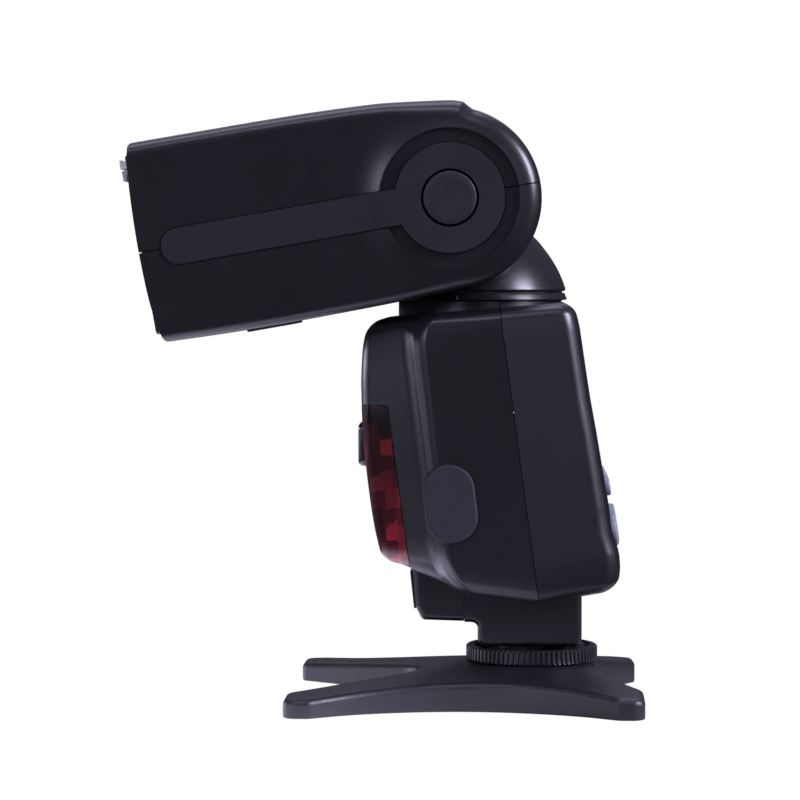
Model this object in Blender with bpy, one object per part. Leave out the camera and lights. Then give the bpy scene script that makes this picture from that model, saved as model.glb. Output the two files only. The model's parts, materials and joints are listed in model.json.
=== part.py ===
"""Speedlight flash locked in a cross-shaped shoe stand.

Bench dimensions are in millimetres and are scaled to metres when an object is
made.  +Z is up, the flash head points along -X, +Y is the battery-door side.
The origin is the middle of the footprint, on the surface that the stand
stands on.  The head is at the bottom stop of its tilt, 10 degrees below level.
"""

import math

import bmesh
import bpy
from mathutils import Matrix, Vector

# ------------------------------------------------------------------ dimensions
MM = 0.001
GAP = 0.3                     # clearance between neighbouring pieces

SHIFT_X = 5.02                # bench X = 0 lies this far from the origin

# head, in its own frame: x back along the head, z up, origin on the tilt axis
PIVOT_X, PIVOT_Z = 13.3, 124.0
HEAD_DROOP = 10.0             # degrees below level at the bottom stop
HEAD_HALF_W = 37.0
HEAD_CHEEK_R = 21.8
HEAD_WALL = 2.0
CHEEK_INNER_Y = 22.0
BOSS_R, BOSS_H = 16.8, 1.2
TRIM_R, TRIM_ARM_HALF, TRIM_ARM_END = 13.1, 4.3, -65.6
BUTTON_R, BUTTON_HOLE_R = 5.8, 6.9

# neck
SWIVEL_X = 20.0
NECK_BASE_R = 21.3
NECK_BASE_Z = 101.7
DRUM_R, DRUM_HALF_W = 20.8, 21.5
SHAFT_R = 5.0

# body
BODY_WALL = 2.0
BODY_HALF_W = 36.5
COLLAR_TOP_Z = 101.3
SEAM_TOP, SEAM_BOTTOM = (25.2, 97.1), (34.6, 27.3)
PANEL_LEAN = 9.08             # degrees, rear panel against vertical
PANEL_X, PANEL_Z = 48.89, 64.29

# foot and stand
FOOT_X = 33.0
FOOT_PLATE = (18.6, 18.0, 2.0)   # width across, length, thickness
RING_R, RING_Z0, RING_Z1 = 16.4, 9.8, 13.5
RING_TEETH = 36
STAND_WALL_H = 6.3
STAND_TOP_H = 9.5
INSERT_R = 3.9

ROUND = 28                    # sides of a large round piece
SMALL = 14                    # sides of a small one

# ------------------------------------------------------------------ tools
for old in list(bpy.data.objects):
    bpy.data.objects.remove(old, do_unlink=True)


def offset_corners(corners, d):
    """Move every side of an anticlockwise outline inwards by d."""
    out = []
    n = len(corners)
    for i in range(n):
        x0, y0 = corners[i - 1][:2]
        x1, y1, r = corners[i]
        x2, y2 = corners[(i + 1) % n][:2]
        ax, ay = x1 - x0, y1 - y0
        bx, by = x2 - x1, y2 - y1
        la, lb = math.hypot(ax, ay), math.hypot(bx, by)
        ax, ay, bx, by = ax / la, ay / la, bx / lb, by / lb
        nx, ny = -ay - by, ax + bx
        k = d / max(1e-6, 1.0 + (ax * bx + ay * by))
        turn = ax * by - ay * bx
        if r > 0:
            r = max(0.05, r - d) if turn > 0 else r + d
        out.append((x1 + nx * k, y1 + ny * k, r))
    return out


def outline(corners, d=0.0, seg=3):
    """Points of an outline whose corners (x, y, radius) are rounded."""
    pts = []
    cs = offset_corners(corners, d) if d else list(corners)
    n = len(cs)
    for i in range(n):
        p = Vector(cs[i][:2])
        r = cs[i][2]
        if r <= 0:
            pts.append((p.x, p.y))
            continue
        a = (Vector(cs[i - 1][:2]) - p).normalized()
        b = (Vector(cs[(i + 1) % n][:2]) - p).normalized()
        half = math.acos(max(-1.0, min(1.0, a.dot(b)))) / 2
        t = r / math.tan(half)
        centre = p + (a + b).normalized() * (r / math.sin(half))
        s, e = p + a * t - centre, p + b * t - centre
        a0, a1 = math.atan2(s.y, s.x), math.atan2(e.y, e.x)
        da = (a1 - a0 + math.pi) % (2 * math.pi) - math.pi
        for k in range(seg + 1):
            w = a0 + da * k / seg
            pts.append((centre.x + r * math.cos(w), centre.y + r * math.sin(w)))
    return pts


def finish(bm, name="m"):
    """Make one clean mesh, faces out, from a bmesh."""
    bmesh.ops.remove_doubles(bm, verts=bm.verts, dist=1e-4)
    bmesh.ops.recalc_face_normals(bm, faces=bm.faces)
    if bm.calc_volume(signed=True) < 0:
        bmesh.ops.reverse_faces(bm, faces=bm.faces)
    me = bpy.data.meshes.new(name)
    bm.to_mesh(me)
    bm.free()
    return me


def loft(loops, close=False):
    """Skin through loops of 3-D points with equal counts; ends are capped."""
    bm = bmesh.new()
    rows = [[bm.verts.new(p) for p in lp] for lp in loops]
    n = len(rows[0])
    pairs = list(zip(rows, rows[1:]))
    if close:
        pairs.append((rows[-1], rows[0]))
    for lo, hi in pairs:
        for i in range(n):
            j = (i + 1) % n
            bm.faces.new((lo[i], lo[j], hi[j], hi[i]))
    if not close:
        bm.faces.new(rows[0][::-1])
        bm.faces.new(rows[-1])
    return finish(bm)


def to3(axis, u, v, w):
    """Outline plane point (u, v) at height w along an axis."""
    return {"x": (w, u, v), "y": (u, w, v), "z": (u, v, w)}[axis]


def slab(axis, corners, lo, hi, rlo=0.0, rhi=0.0, n=2, seg=3, d=0.0):
    """Outline pushed along an axis, its rims rounded by rlo and rhi."""
    levels = []
    if rlo:
        for i in range(n):
            a = math.pi / 2 * i / n
            levels.append((rlo * (1 - math.sin(a)), lo + rlo * (1 - math.cos(a))))
        levels.append((0.0, lo + rlo))
    else:
        levels.append((0.0, lo))
    if rhi:
        levels.append((0.0, hi - rhi))
        for i in range(n - 1, -1, -1):
            a = math.pi / 2 * i / n
            levels.append((rhi * (1 - math.sin(a)), hi - rhi * (1 - math.cos(a))))
    else:
        levels.append((0.0, hi))
    return loft([[to3(axis, u, v, w) for u, v in outline(corners, d + off, seg)]
                 for off, w in levels])


def rect(u0, u1, v0, v1, r=0.0):
    return [(u0, v0, r), (u1, v0, r), (u1, v1, r), (u0, v1, r)]


def box(x0, x1, y0, y1, z0, z1):
    return slab("z", rect(x0, x1, y0, y1), z0, z1)


def revolve(profile, centre=(0, 0, 0), axis="z", seg=SMALL, ring=False):
    """Turn (radius, height) points about an axis through centre."""
    bm = bmesh.new()
    cols = []
    for k in range(seg):
        a = 2 * math.pi * k / seg
        cols.append([(r * math.cos(a), r * math.sin(a), h) for r, h in profile])
    n = len(profile)
    verts = {}

    def vert(k, i):
        key = (0 if profile[i][0] == 0 else k % seg, i)
        if key not in verts:
            u, v, w = cols[key[0]][i]
            verts[key] = bm.verts.new(Vector(to3(axis, u, v, w)) + Vector(centre))
        return verts[key]

    last = n if ring else n - 1
    for k in range(seg):
        for i in range(last):
            j = (i + 1) % n
            quad = []
            for v in (vert(k, i), vert(k + 1, i), vert(k + 1, j), vert(k, j)):
                if v not in quad:
                    quad.append(v)
            if len(quad) > 2:
                bm.faces.new(quad)
    return finish(bm)


def cyl(axis, centre, r, lo, hi, seg=SMALL, c=0.0):
    """Plain cylinder from lo to hi along an axis, its rims cut by c."""
    prof = [(0, lo)] + ([(r - c, lo), (r, lo + c)] if c else [(r, lo)])
    prof += ([(r, hi - c), (r - c, hi)] if c else [(r, hi)]) + [(0, hi)]
    return revolve(prof, centre, axis, seg)


def tube(axis, centre, r0, r1, lo, hi, seg=SMALL):
    return revolve([(r0, lo), (r1, lo), (r1, hi), (r0, hi)], centre, axis, seg, ring=True)


def boolean(a, others, op="DIFFERENCE"):
    """Exact Boolean of mesh a with each mesh in others."""
    if not isinstance(others, (list, tuple)):
        others = [others]
    base = bpy.data.objects.new("work", a)
    bpy.context.collection.objects.link(base)
    tools = []
    for m in others:
        t = bpy.data.objects.new("cutter", m)
        bpy.context.collection.objects.link(t)
        mod = base.modifiers.new("cut", "BOOLEAN")
        mod.object, mod.operation, mod.solver = t, op, "EXACT"
        tools.append(t)
    dg = bpy.context.evaluated_depsgraph_get()
    dg.update()
    me = bpy.data.meshes.new_from_object(base.evaluated_get(dg))
    for o in [base] + tools:
        bpy.data.objects.remove(o, do_unlink=True)
    bm = bmesh.new()
    bm.from_mesh(me)
    bmesh.ops.remove_doubles(bm, verts=bm.verts, dist=2e-4)
    bmesh.ops.dissolve_degenerate(bm, edges=bm.edges, dist=1e-4)
    bmesh.ops.dissolve_limit(bm, angle_limit=math.radians(0.2), verts=bm.verts,
                             edges=bm.edges)
    bmesh.ops.triangulate(bm, faces=[f for f in bm.faces if len(f.verts) > 4])
    bm.to_mesh(me)
    bm.free()
    return me


def cut(a, *others):
    return boolean(a, list(others), "DIFFERENCE")


def join(a, *others):
    return boolean(a, list(others), "UNION")


def keep(a, *others):
    return boolean(a, list(others), "INTERSECT")


def moved(me, m):
    me = me.copy()
    me.transform(m)
    return me


def shift(me, x=0.0, y=0.0, z=0.0):
    return moved(me, Matrix.Translation((x, y, z)))


def interp(table, v):
    """Straight-line reading of a table of (key, value) with rising keys."""
    if v <= table[0][0]:
        return table[0][1]
    for (a, fa), (b, fb) in zip(table, table[1:]):
        if v <= b:
            return fa + (fb - fa) * (v - a) / (b - a)
    return table[-1][1]


# ------------------------------------------------------------------ materials
MATERIALS = {}


def material(name, colour, rough=0.5, metal=0.0, alpha=1.0, transmission=0.0):
    if name not in MATERIALS:
        m = bpy.data.materials.new(name)
        m.use_nodes = True
        p = m.node_tree.nodes["Principled BSDF"]
        p.inputs["Base Color"].default_value = (*colour, 1)
        p.inputs["Roughness"].default_value = rough
        p.inputs["Metallic"].default_value = metal
        p.inputs["Alpha"].default_value = alpha
        p.inputs["Transmission Weight"].default_value = transmission
        m.diffuse_color = (*colour, 1)
        MATERIALS[name] = m
    return MATERIALS[name]


BLACK = ((0.012, 0.012, 0.014), 0.42)
MATTE = ((0.02, 0.02, 0.026), 0.6)
RUBBER = ((0.026, 0.027, 0.036), 0.7)
STANDC = ((0.03, 0.03, 0.038), 0.55)
STEEL = ((0.55, 0.55, 0.57), 0.3, 1.0)
BRASS = ((0.72, 0.53, 0.25), 0.35, 1.0)
COPPER = ((0.75, 0.4, 0.22), 0.35, 1.0)
RED = ((0.3, 0.006, 0.012), 0.12, 0.0, 1.0, 0.6)
CLEAR = ((0.9, 0.92, 0.93), 0.1, 0.0, 1.0, 0.9)
WHITE = ((0.75, 0.74, 0.7), 0.5)
BOARD = ((0.01, 0.08, 0.03), 0.5)
GREYBTN = ((0.3, 0.33, 0.38), 0.45)
CELL = ((0.05, 0.1, 0.25), 0.35)
CAPAC = ((0.02, 0.03, 0.06), 0.35)


# ------------------------------------------------------------------ frames
def empty(name, location, rotation=(0, 0, 0), parent=None):
    e = bpy.data.objects.new(name, None)
    e.empty_display_size = 0.01
    e.location = [c * MM for c in location]
    e.rotation_euler = rotation
    e.parent = parent
    bpy.context.collection.objects.link(e)
    return e


BENCH = empty("bench", (SHIFT_X, 0, 0))
NECK = empty("neck_frame", (SWIVEL_X, 0, 0), parent=BENCH)
HEAD = empty("head_frame", (PIVOT_X - SWIVEL_X, 0, PIVOT_Z),
             (0, -math.radians(HEAD_DROOP), 0), NECK)
PANEL = empty("panel_frame", (PANEL_X, 0, PANEL_Z),
              (0, -math.radians(PANEL_LEAN), 0), BENCH)
PIECES = {}


def place(name, me, look, parent=BENCH, at=(0, 0, 0), smooth=40.0):
    """One named piece: its mesh in the parent's frame, its origin at `at`."""
    me = me.copy()
    me.transform(Matrix.Translation([-c for c in at]))
    me.transform(Matrix.Scale(MM, 4))
    me.name = name
    me.materials.clear()
    me.materials.append(material(name + "_material", *look))
    me.shade_smooth()
    me.set_sharp_from_angle(angle=math.radians(smooth))
    ob = bpy.data.objects.new(name, me)
    ob.parent = parent
    ob.location = [c * MM for c in at]
    bpy.context.collection.objects.link(ob)
    PIECES[name] = ob
    return ob


# ================================================================== HEAD
def arc(cx, cy, r, a0, a1, n):
    return [(cx + r * math.cos(math.radians(a0 + (a1 - a0) * k / n)),
             cy + r * math.sin(math.radians(a0 + (a1 - a0) * k / n)), 0.0)
            for k in range(n + 1)]


HEAD_SIDE = (
    [(-73.0, -22.0, 1.2), (-45.0, -22.6, 0.0), (-19.0, -22.3, 0.0), (-8.0, -21.9, 0.0)]
    + arc(0, 0, HEAD_CHEEK_R, -80, 66, 10)
    + [(6.9, 22.1, 0.4), (1.7, 23.3, 0.0), (-7.8, 24.6, 0.0), (-14.2, 25.3, 0.0),
       (-27.4, 25.8, 0.0), (-73.5, 26.3, 1.2), (-74.9, 16.0, 0.0), (-75.3, 6.0, 0.0),
       (-75.3, -3.0, 0.0), (-74.9, -12.2, 0.0)]
)
SLOT_FROM, SLOT_TO = 72.0, -141.0     # open way for the neck, clockwise


def head_block():
    w = HEAD_HALF_W
    body = slab("y", HEAD_SIDE, -w, w, 3.0, 3.0, n=2)
    bosses = []
    for s in (-1, 1):
        prof = [(0, 30.0), (19.6, 30.0), (19.6, w - 0.2), (BOSS_R, w + BOSS_H), (0, w + BOSS_H)]
        bosses.append(revolve([(r, s * h) for r, h in prof], axis="y", seg=ROUND))
    return join(body, *bosses)


def head_void():
    """Everything inside the head shells."""
    w = HEAD_HALF_W - HEAD_WALL
    front = slab("x", rect(-w, w, -20.3, 24.0, 1.5), -80.0, -25.0, seg=2)
    parts = [front]
    for s in (-1, 1):
        y0, y1 = sorted((s * (CHEEK_INNER_Y + 2.0), s * w))
        parts.append(cyl("y", (0, 0, 0), HEAD_CHEEK_R - 2.2, y0, y1, ROUND))
        parts.append(box(-30, 0, y0, y1, -18.5, 18.5))
    return parts


def slot_cut():
    """Room for the neck drum, and the open way it needs as the head tilts."""
    r = 34.0
    pts = [(0, 0, 0.0)] + arc(0, 0, r, SLOT_TO, SLOT_FROM, 8)
    wedge = slab("y", pts, -CHEEK_INNER_Y, CHEEK_INNER_Y)
    drum = cyl("y", (0, 0, 0), DRUM_R + 0.5, -CHEEK_INNER_Y, CHEEK_INNER_Y, ROUND)
    return [wedge, drum]


def trim_corners(grow=0.0):
    r, h, xe = TRIM_R + grow, TRIM_ARM_HALF + grow, TRIM_ARM_END
    a = math.degrees(math.asin(h / r))
    pts = arc(0, 0, r, -180 + a, 180 - a, 24)
    pts += arc(xe, 0, h, 90, 270, 8)
    return pts


def head_shells():
    block = head_block()
    shell = cut(block, *head_void(), *slot_cut())
    w = HEAD_HALF_W
    holes = []
    for s in (-1, 1):
        y0, y1 = sorted((s * (w - 0.7), s * (w + 5)))
        holes.append(slab("y", trim_corners(0.25), y0, y1))
        y0, y1 = sorted((s * 33.0, s * (w + 5)))
        holes.append(cyl("y", (0, 0, 0), BUTTON_HOLE_R, y0, y1, SMALL))
        y0, y1 = sorted((s * 20.0, s * 36.0))
        holes.append(cyl("y", (0, 0, 0), SHAFT_R + GAP, y0, y1, SMALL))
    holes.append(slab("z", rect(-55.9, -42.7, -10.3, 10.3, 1.0), -24, -21.2, seg=1))
    shell = cut(shell, *holes)
    half = 0.12
    upper = keep(shell, box(-90, 40, -60, 60, half, 60))
    lower = keep(shell, box(-90, 40, -60, 60, -60, -half))
    return upper, lower


HEAD_UPPER, HEAD_LOWER = head_shells()
place("head_upper_shell", HEAD_UPPER, BLACK, HEAD)
place("head_lower_shell", HEAD_LOWER, BLACK, HEAD)


def trim(s):
    w = HEAD_HALF_W
    y0, y1 = sorted((s * (w - 0.45), s * (w + BOSS_H + 0.4)))
    plate = slab("y", trim_corners(), y0, y1)
    y0, y1 = sorted((s * (w - 3), s * (w + 0.45)))
    arm = slab("y", [(-75, -9, 0), (-14.5, -9, 0), (-14.5, 9, 0), (-75, 9, 0)], y0, y1)
    prof = [(0, w - 3), (23.0, w - 3), (23.0, w + 0.45), (17.2, w + BOSS_H + 0.4),
            (0, w + BOSS_H + 0.4)]
    dome = revolve([(r, s * h) for r, h in prof], axis="y", seg=ROUND)
    plate = keep(plate, join(arm, dome))
    y0, y1 = sorted((s * (w - 5), s * (w + 5)))
    return cut(plate, cyl("y", (0, 0, 0), BUTTON_HOLE_R, y0, y1, SMALL))


place("side_trim_left", trim(-1), MATTE, HEAD)
place("side_trim_right", trim(1), MATTE, HEAD)

w = HEAD_HALF_W
place("tilt_release_button",
      cyl("y", (0, 0, 0), BUTTON_R, -(w + BOSS_H + 0.7), -34.6, 24, 0.4), BLACK, HEAD)
place("pivot_cap_right", cyl("y", (0, 0, 0), BUTTON_R, 33.3, w + BOSS_H + 0.7, 24, 0.4),
      BLACK, HEAD)
place("tilt_release_spring", tube("y", (0, 0, 0), 2.4, 3.4, -34.3, -30.9, 12), STEEL, HEAD)
place("tilt_shaft",
      cut(cyl("y", (0, 0, 0), SHAFT_R - 0.3, -30.6, 32.7, SMALL),
          cyl("y", (0, 0, 0), 2.0, -40, -20, 12)), STEEL, HEAD)

# lens, its frame and the two pull-out plates
bezel = slab("x", rect(-34.6, 34.6, -19.9, 23.6, 1.5), -75.0, -69.0, seg=2)
bezel = cut(bezel,
            slab("x", rect(-31.0, 31.0, -16.6, 17.6, 2.0), -80, -60, seg=2),
            slab("x", rect(-33.3, 33.3, -18.6, 19.2, 2.0), -73.4, -60, seg=2),
            slab("x", rect(-29.0, 29.0, 20.25, 23.1), -80, -60))
place("lens_bezel", bezel, BLACK, HEAD)
place("fresnel_lens",
      join(slab("x", rect(-32.9, 32.9, -18.2, 18.8, 1.8), -73.1, -71.2, seg=2),
           slab("x", rect(-30.6, 30.6, -16.2, 17.2, 1.8), -74.4, -72.0, seg=2)),
      CLEAR, HEAD)
wide = join(slab("z", rect(-74.0, -34.0, -28.4, 28.4, 1.5), 20.6, 21.7, seg=2),
            box(-80.0, -73.0, -6.0, 6.0, 20.6, 21.7))
place("wide_panel", wide, CLEAR, HEAD)
place("bounce_card",
      join(slab("z", rect(-74.2, -38.0, -28.0, 28.0, 1.5), 22.1, 22.8, seg=2),
           slab("y", [(-80.0, 22.1, 0), (-73.8, 22.1, 0), (-73.8, 22.8, 0), (-76.0, 22.8, 0),
                      (-78.3, 25.7, 0.5), (-80.0, 25.7, 0.5)], -6.0, 6.0, seg=2)), WHITE, HEAD)
place("head_bottom_plate", slab("z", rect(-55.6, -43.0, -10.0, 10.0, 1.0), -23.2, -21.4, seg=1),
      MATTE, HEAD)

# zoom reflector on its carriage
trough = slab("y", [(-50.5, -14.5, 0), (-50.5, -15.5, 0), (-36.0, -7.0, 0), (-33.5, 0, 0),
                    (-36.0, 7.0, 0), (-50.5, 15.5, 0), (-50.5, 14.5, 0), (-37.5, 5.8, 0),
                    (-35.0, 0, 0), (-37.5, -5.8, 0)][::-1], -24.4, 24.4)
place("reflector", trough, STEEL, HEAD)
place("flash_tube", cyl("y", (-39.3, 0, 0), 1.9, -28.5, 28.5, 12, 0.6), CLEAR, HEAD)
carriage = join(box(-52.0, -33.0, -30.2, -28.9, -15.5, 15.5),
                box(-52.0, -33.0, 28.9, 30.2, -15.5, 15.5),
                box(-33.1, -31.6, -30.2, 30.2, -15.5, 15.5))
carriage = cut(carriage, cyl("x", (0, -26.5, 12), 1.5, -60, -20, 12),
               cyl("x", (0, 26.5, -13), 2.0, -60, -20, 12))
place("zoom_carriage", carriage, BLACK, HEAD)
place("zoom_guide_rod", cyl("x", (0, -26.5, 12.0), 1.2, -68.5, -25.3, 12), STEEL, HEAD)
place("zoom_lead_screw", cyl("x", (0, 26.5, -13.0), 1.5, -67.8, -30.6, 12), STEEL, HEAD,
      at=(0, 26.5, -13.0))
place("zoom_motor", cut(cyl("x", (0, 26.5, -12.0), 5.5, -31.2, -25.3, SMALL),
                        cyl("x", (0, 26.5, -13.0), 1.8, -33, -30.2, 12)), STEEL, HEAD)

# ================================================================== NECK
dome_prof = [(0, 101.7), (NECK_BASE_R - 0.4, NECK_BASE_Z), (NECK_BASE_R, NECK_BASE_Z + 0.5),
             (21.1, 102.8), (20.5, 104.6), (19.6, 106.6), (18.5, 108.6), (17.2, 110.6),
             (15.7, 112.6), (14.0, 114.6), (12.0, 116.4), (0, 118.0)]
dome = revolve(dome_prof, axis="z", seg=ROUND)
drum = cyl("y", (PIVOT_X - SWIVEL_X, 0, PIVOT_Z), DRUM_R, -DRUM_HALF_W, DRUM_HALF_W, ROUND, 0.5)
neck = join(dome, drum)
neck = cut(neck,
           cyl("y", (PIVOT_X - SWIVEL_X, 0, PIVOT_Z), SHAFT_R, -30, 30, SMALL),
           cyl("y", (PIVOT_X - SWIVEL_X, 0, PIVOT_Z), 17.0, -18.5, -4.0, SMALL),
           cyl("y", (PIVOT_X - SWIVEL_X, 0, PIVOT_Z), 17.0, 4.0, 18.5, SMALL),
           cyl("z", (0, 0, 0), 11.0, 98, 120, SMALL))
neck = join(neck, tube("z", (0, 0, 0), 10.0, 13.0, 92.3, 103.0, SMALL))
place("neck_shell", neck, BLACK, NECK)
place("swivel_retainer_ring", tube("z", (0, 0, 0), 10.4, 19.0, 90.3, 92.0, 24), STEEL, NECK)


# ================================================================== BODY
NOSE = [(33.2, -0.2), (34.5, -1.8), (36.5, -3.2), (38.5, -4.0), (40.5, -4.7), (44.5, -5.6),
        (48.5, -6.4), (54.5, -7.2), (62.0, -8.1), (70.5, -8.7), (80.5, -8.9), (88.2, -8.5),
        (92.0, -7.9), (95.0, -7.3)]
VALLEY = [(30.0, 10.0), (36.5, 9.3), (42.3, 8.1), (56.7, 6.9), (93.0, 2.1), (99.0, 1.3)]
BEVEL = [(28.0, 14.5), (36.5, 12.7), (60.0, 9.7), (93.0, 6.0), (99.0, 5.4)]
SEAM = [(27.3, 34.6), (97.1, 25.2), (100.0, 24.8)]
REAR = [(30.0, 51.8), (31.1, 52.4), (32.8, 53.6), (35.6, 53.9), (39.9, 53.6), (42.3, 52.4),
        (50.7, 51.3), (60.5, 49.6), (68.2, 48.3), (75.8, 46.9), (81.5, 46.0), (93.0, 44.3),
        (96.8, 43.6), (100.0, 42.9)]
BOTTOM = [(-10.0, 33.4), (2.3, 33.0), (12.7, 29.7), (23.7, 27.8), (34.7, 27.0), (44.8, 29.2),
          (54.0, 31.1)]
TOP = [(-9.0, 94.0), (-1.0, 95.6), (41.5, 99.2), (45.0, 99.5)]


def body_level(t, dz, inset, seg=2):
    """One near-level section of the body, t from 0 (underside) to 1 (top)."""
    def z_at(x):
        lo, hi = interp(BOTTOM, x), interp(TOP, x)
        return lo + t * (hi - lo) + dz

    def x_at(table, guess):
        x = guess
        for _ in range(4):
            x = interp(table, z_at(x))
        return x

    xf, xv = x_at(NOSE, -8), x_at(VALLEY, 5)
    xb, xs, xr = x_at(BEVEL, 9), x_at(SEAM, 30), x_at(REAR, 48)
    half = [(xf, 21.5, 5.5), (xv, 28.8, 1.5), (xb, 34.2, 2.5), (xs, BODY_HALF_W, 0.0),
            (xr, 33.6, 4.5)]
    cs = [(x, -y, r) for x, y, r in half]
    cs += [(x, y, r) for x, y, r in reversed(half)]
    return [(x, y, z_at(x)) for x, y in outline(cs, inset, seg)]


def body_loft(inset, rim, n=2):
    """Whole body block, shrunk by inset, with rounded top and bottom rims."""
    rows = []
    for i in range(n):
        a = math.pi / 2 * i / n
        rows.append((0.0, inset + rim * (1 - math.cos(a)), inset + rim * (1 - math.sin(a))))
    rows.append((0.0, inset + rim, inset))
    for t in (0.115, 0.165, 0.2, 0.30, 0.46, 0.6, 0.74, 0.86):
        rows.append((t, 0.0, inset))
    rows.append((1.0, -inset - rim, inset))
    for i in range(n - 1, -1, -1):
        a = math.pi / 2 * i / n
        rows.append((1.0, -inset - rim * (1 - math.cos(a)), inset + rim * (1 - math.sin(a))))
    return loft([body_level(*row) for row in rows])


def seam_side(front):
    """Half-space in front of or behind the tilted seam between the shells."""
    (xt, zt), (xb, zb) = SEAM_TOP, SEAM_BOTTOM
    dx, dz = (xt - xb) / (zt - zb), 1.0
    g = 0.13
    a = (xb - dx * 40, zb - 40)
    b = (xt + dx * 40, zt + 40)
    if front:
        pts = [(a[0] - g, a[1], 0), (b[0] - g, b[1], 0), (-60, b[1], 0), (-60, a[1], 0)]
    else:
        pts = [(a[0] + g, a[1], 0), (100, a[1], 0), (100, b[1], 0), (b[0] + g, b[1], 0)]
    return slab("y", pts, -60, 60)


WIN = [(-40, 20, 0), (3.6, 20, 0), (2.95, 35.9, 0), (-2.3, 74.2, 2.5), (-40, 73.6, 0)]
PORT_X, PORT_Z, PORT_LEAN = 13.4, 51.1, 7.0
PORT_Y = -35.6
PORT = empty("port_frame", (PORT_X, PORT_Y, PORT_Z), (0, -math.radians(PORT_LEAN), 0), BENCH)


def port_shape(grow, y0, y1):
    """Stadium across the side wall, upright in the port's leaning frame."""
    h, v = 6.3 + grow, 9.45 + grow
    me = slab("y", rect(-h, h, -v, v, h - 0.02), y0, y1, seg=4)
    me = moved(me, Matrix.Rotation(-math.radians(PORT_LEAN), 4, "Y"))
    return shift(me, PORT_X, 0, PORT_Z)


def panel_part(me):
    """Move a mesh from the rear panel's frame to the bench frame."""
    me = moved(me, Matrix.Rotation(-math.radians(PANEL_LEAN), 4, "Y"))
    return shift(me, PANEL_X, 0, PANEL_Z)


DOOR = (15.8, 43.2, 69.7, 31.8)           # battery door: x limits, top, inner y
DOOR_AXIS = (15.65, 35.9)
CELL_R, CELL_L = 7.1, 50.0
CELLS = [(22.4, 43.5), (36.9, 43.5), (22.4, 58.2), (36.9, 58.2)]


def body_shells():
    outer = body_loft(0.0, 3.0)
    collar = revolve([(0, 92), (20.5, 92), (20.5, 99.6), (NECK_BASE_R, 99.8),
                      (NECK_BASE_R, 101.0), (NECK_BASE_R - 0.4, COLLAR_TOP_Z), (0, COLLAR_TOP_Z)],
                     (SWIVEL_X, 0, 0), seg=ROUND)
    block = join(outer, collar)
    inner = body_loft(BODY_WALL, 1.0, n=1)
    shell = cut(block, inner,
                cyl("z", (SWIVEL_X, 0, 0), 13.6, 80, 110, 24),
                port_shape(0.3, -40, -26),
                panel_part(slab("x", rect(-29.3, 29.3, -27.5, 25.4, 2.0), -4, 8, seg=2)),
                )
    x0, x1, top, yin = DOOR
    door = keep(shell, box(x0, x1, yin, 45, 10, top))
    shell = cut(shell, box(x0 - 0.3, x1 + 0.55, yin - 0.3, 45, 10, top + 0.3))
    window = keep(shell, slab("y", offset_corners(WIN, 0.13), -50, 50))
    front = keep(cut(shell, slab("y", offset_corners(WIN, -0.13), -50, 50)), seam_side(True))
    rear = keep(shell, seam_side(False))
    return front, rear, window, door


FRONT, REAR_SHELL, WINDOW, DOOR_SKIN = body_shells()
place("front_shell", FRONT, BLACK)
place("rear_shell", REAR_SHELL, BLACK)
sensor_hole = slab("x", rect(-6.3, 6.3, 57.9, 69.5, 2.0), -20, 0, seg=2)
place("af_assist_window", cut(WINDOW, sensor_hole), RED)
place("wireless_sensor_lens",
      slab("x", rect(-6.0, 6.0, 58.2, 69.2, 1.8), -10.8, -5.0, 0.9, 0, n=2, seg=2),
      ((0.004, 0.004, 0.005), 0.08))
place("af_lamp_housing",
      cut(box(-2.5, 1.2, -14.0, 14.0, 42.5, 56.0),
          cyl("x", (0, 0, 49.5), 4.6, -8, -0.8, SMALL)), MATTE)
place("af_lamp_lens", cyl("x", (0, 0, 49.5), 3.6, -3.2, -1.1, 12, 0.5), RED)

# port cover on the -Y side with the two sockets that it covers
cover = slab("y", rect(-6.05, 6.05, -9.2, 9.2, 6.03), -0.6, 1.5, 0.5, 0, n=2, seg=4)
place("port_cover", cover, RUBBER, PORT, at=(6.0, 0, 0))
place("pc_sync_socket", cut(cyl("y", (0, 0, -4.2), 2.3, 1.9, 9.0, SMALL),
                            cyl("y", (0, 0, -4.2), 1.4, 1.0, 7.0, 12)), STEEL, PORT)
place("power_socket", cut(cyl("y", (0, 0, 4.2), 3.0, 1.9, 10.0, SMALL),
                          cyl("y", (0, 0, 4.2), 1.9, 1.0, 8.0, 12)), BLACK, PORT)

# battery door, its slide carrier, cells and contacts on the +Y side
grip = slab("y", rect(24, 36, 40.0, 43.0, 0.8), 35.0, 37.1, seg=1)
place("battery_door", join(DOOR_SKIN, grip), BLACK, at=(DOOR_AXIS[0], DOOR_AXIS[1], 50.0))
place("battery_door_carrier",
      cut(box(11.9, 14.8, 25.5, 29.2, 40.0, 68.0), box(13.2, 20, 24.0, 27.8, 45, 62)), MATTE)
holder = cut(box(15.2, 43.9, -20.6, 31.5, 35.0, 65.9),
             *[cyl("y", (x, 0, z), CELL_R + 0.35, -19.4, 40, SMALL) for x, z in CELLS])
place("battery_holder", holder, MATTE)
for i, (x, z) in enumerate(CELLS):
    lo = -18.2
    cell = join(cyl("y", (x, 0, z), CELL_R, lo, lo + CELL_L - 1.2, SMALL, 0.4),
                cyl("y", (x, 0, z), 2.7, lo + CELL_L - 2, lo + CELL_L, 10))
    place("battery_cell_%d" % (i + 1), cell, CELL)
place("door_contact_plate", slab("y", rect(18.5, 40.5, 37.0, 64.0, 1.0), 32.15, 32.5, seg=1),
      COPPER, at=(DOOR_AXIS[0], DOOR_AXIS[1], 50.0))

# inside the body
place("main_capacitor", cyl("y", (17.5, 0, 79.0), 8.5, -24.0, 16.0, 20, 0.8), CAPAC)
place("main_circuit_board", box(1.8, 3.2, -22.0, 22.0, 42.0, 86.0), BOARD)

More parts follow.
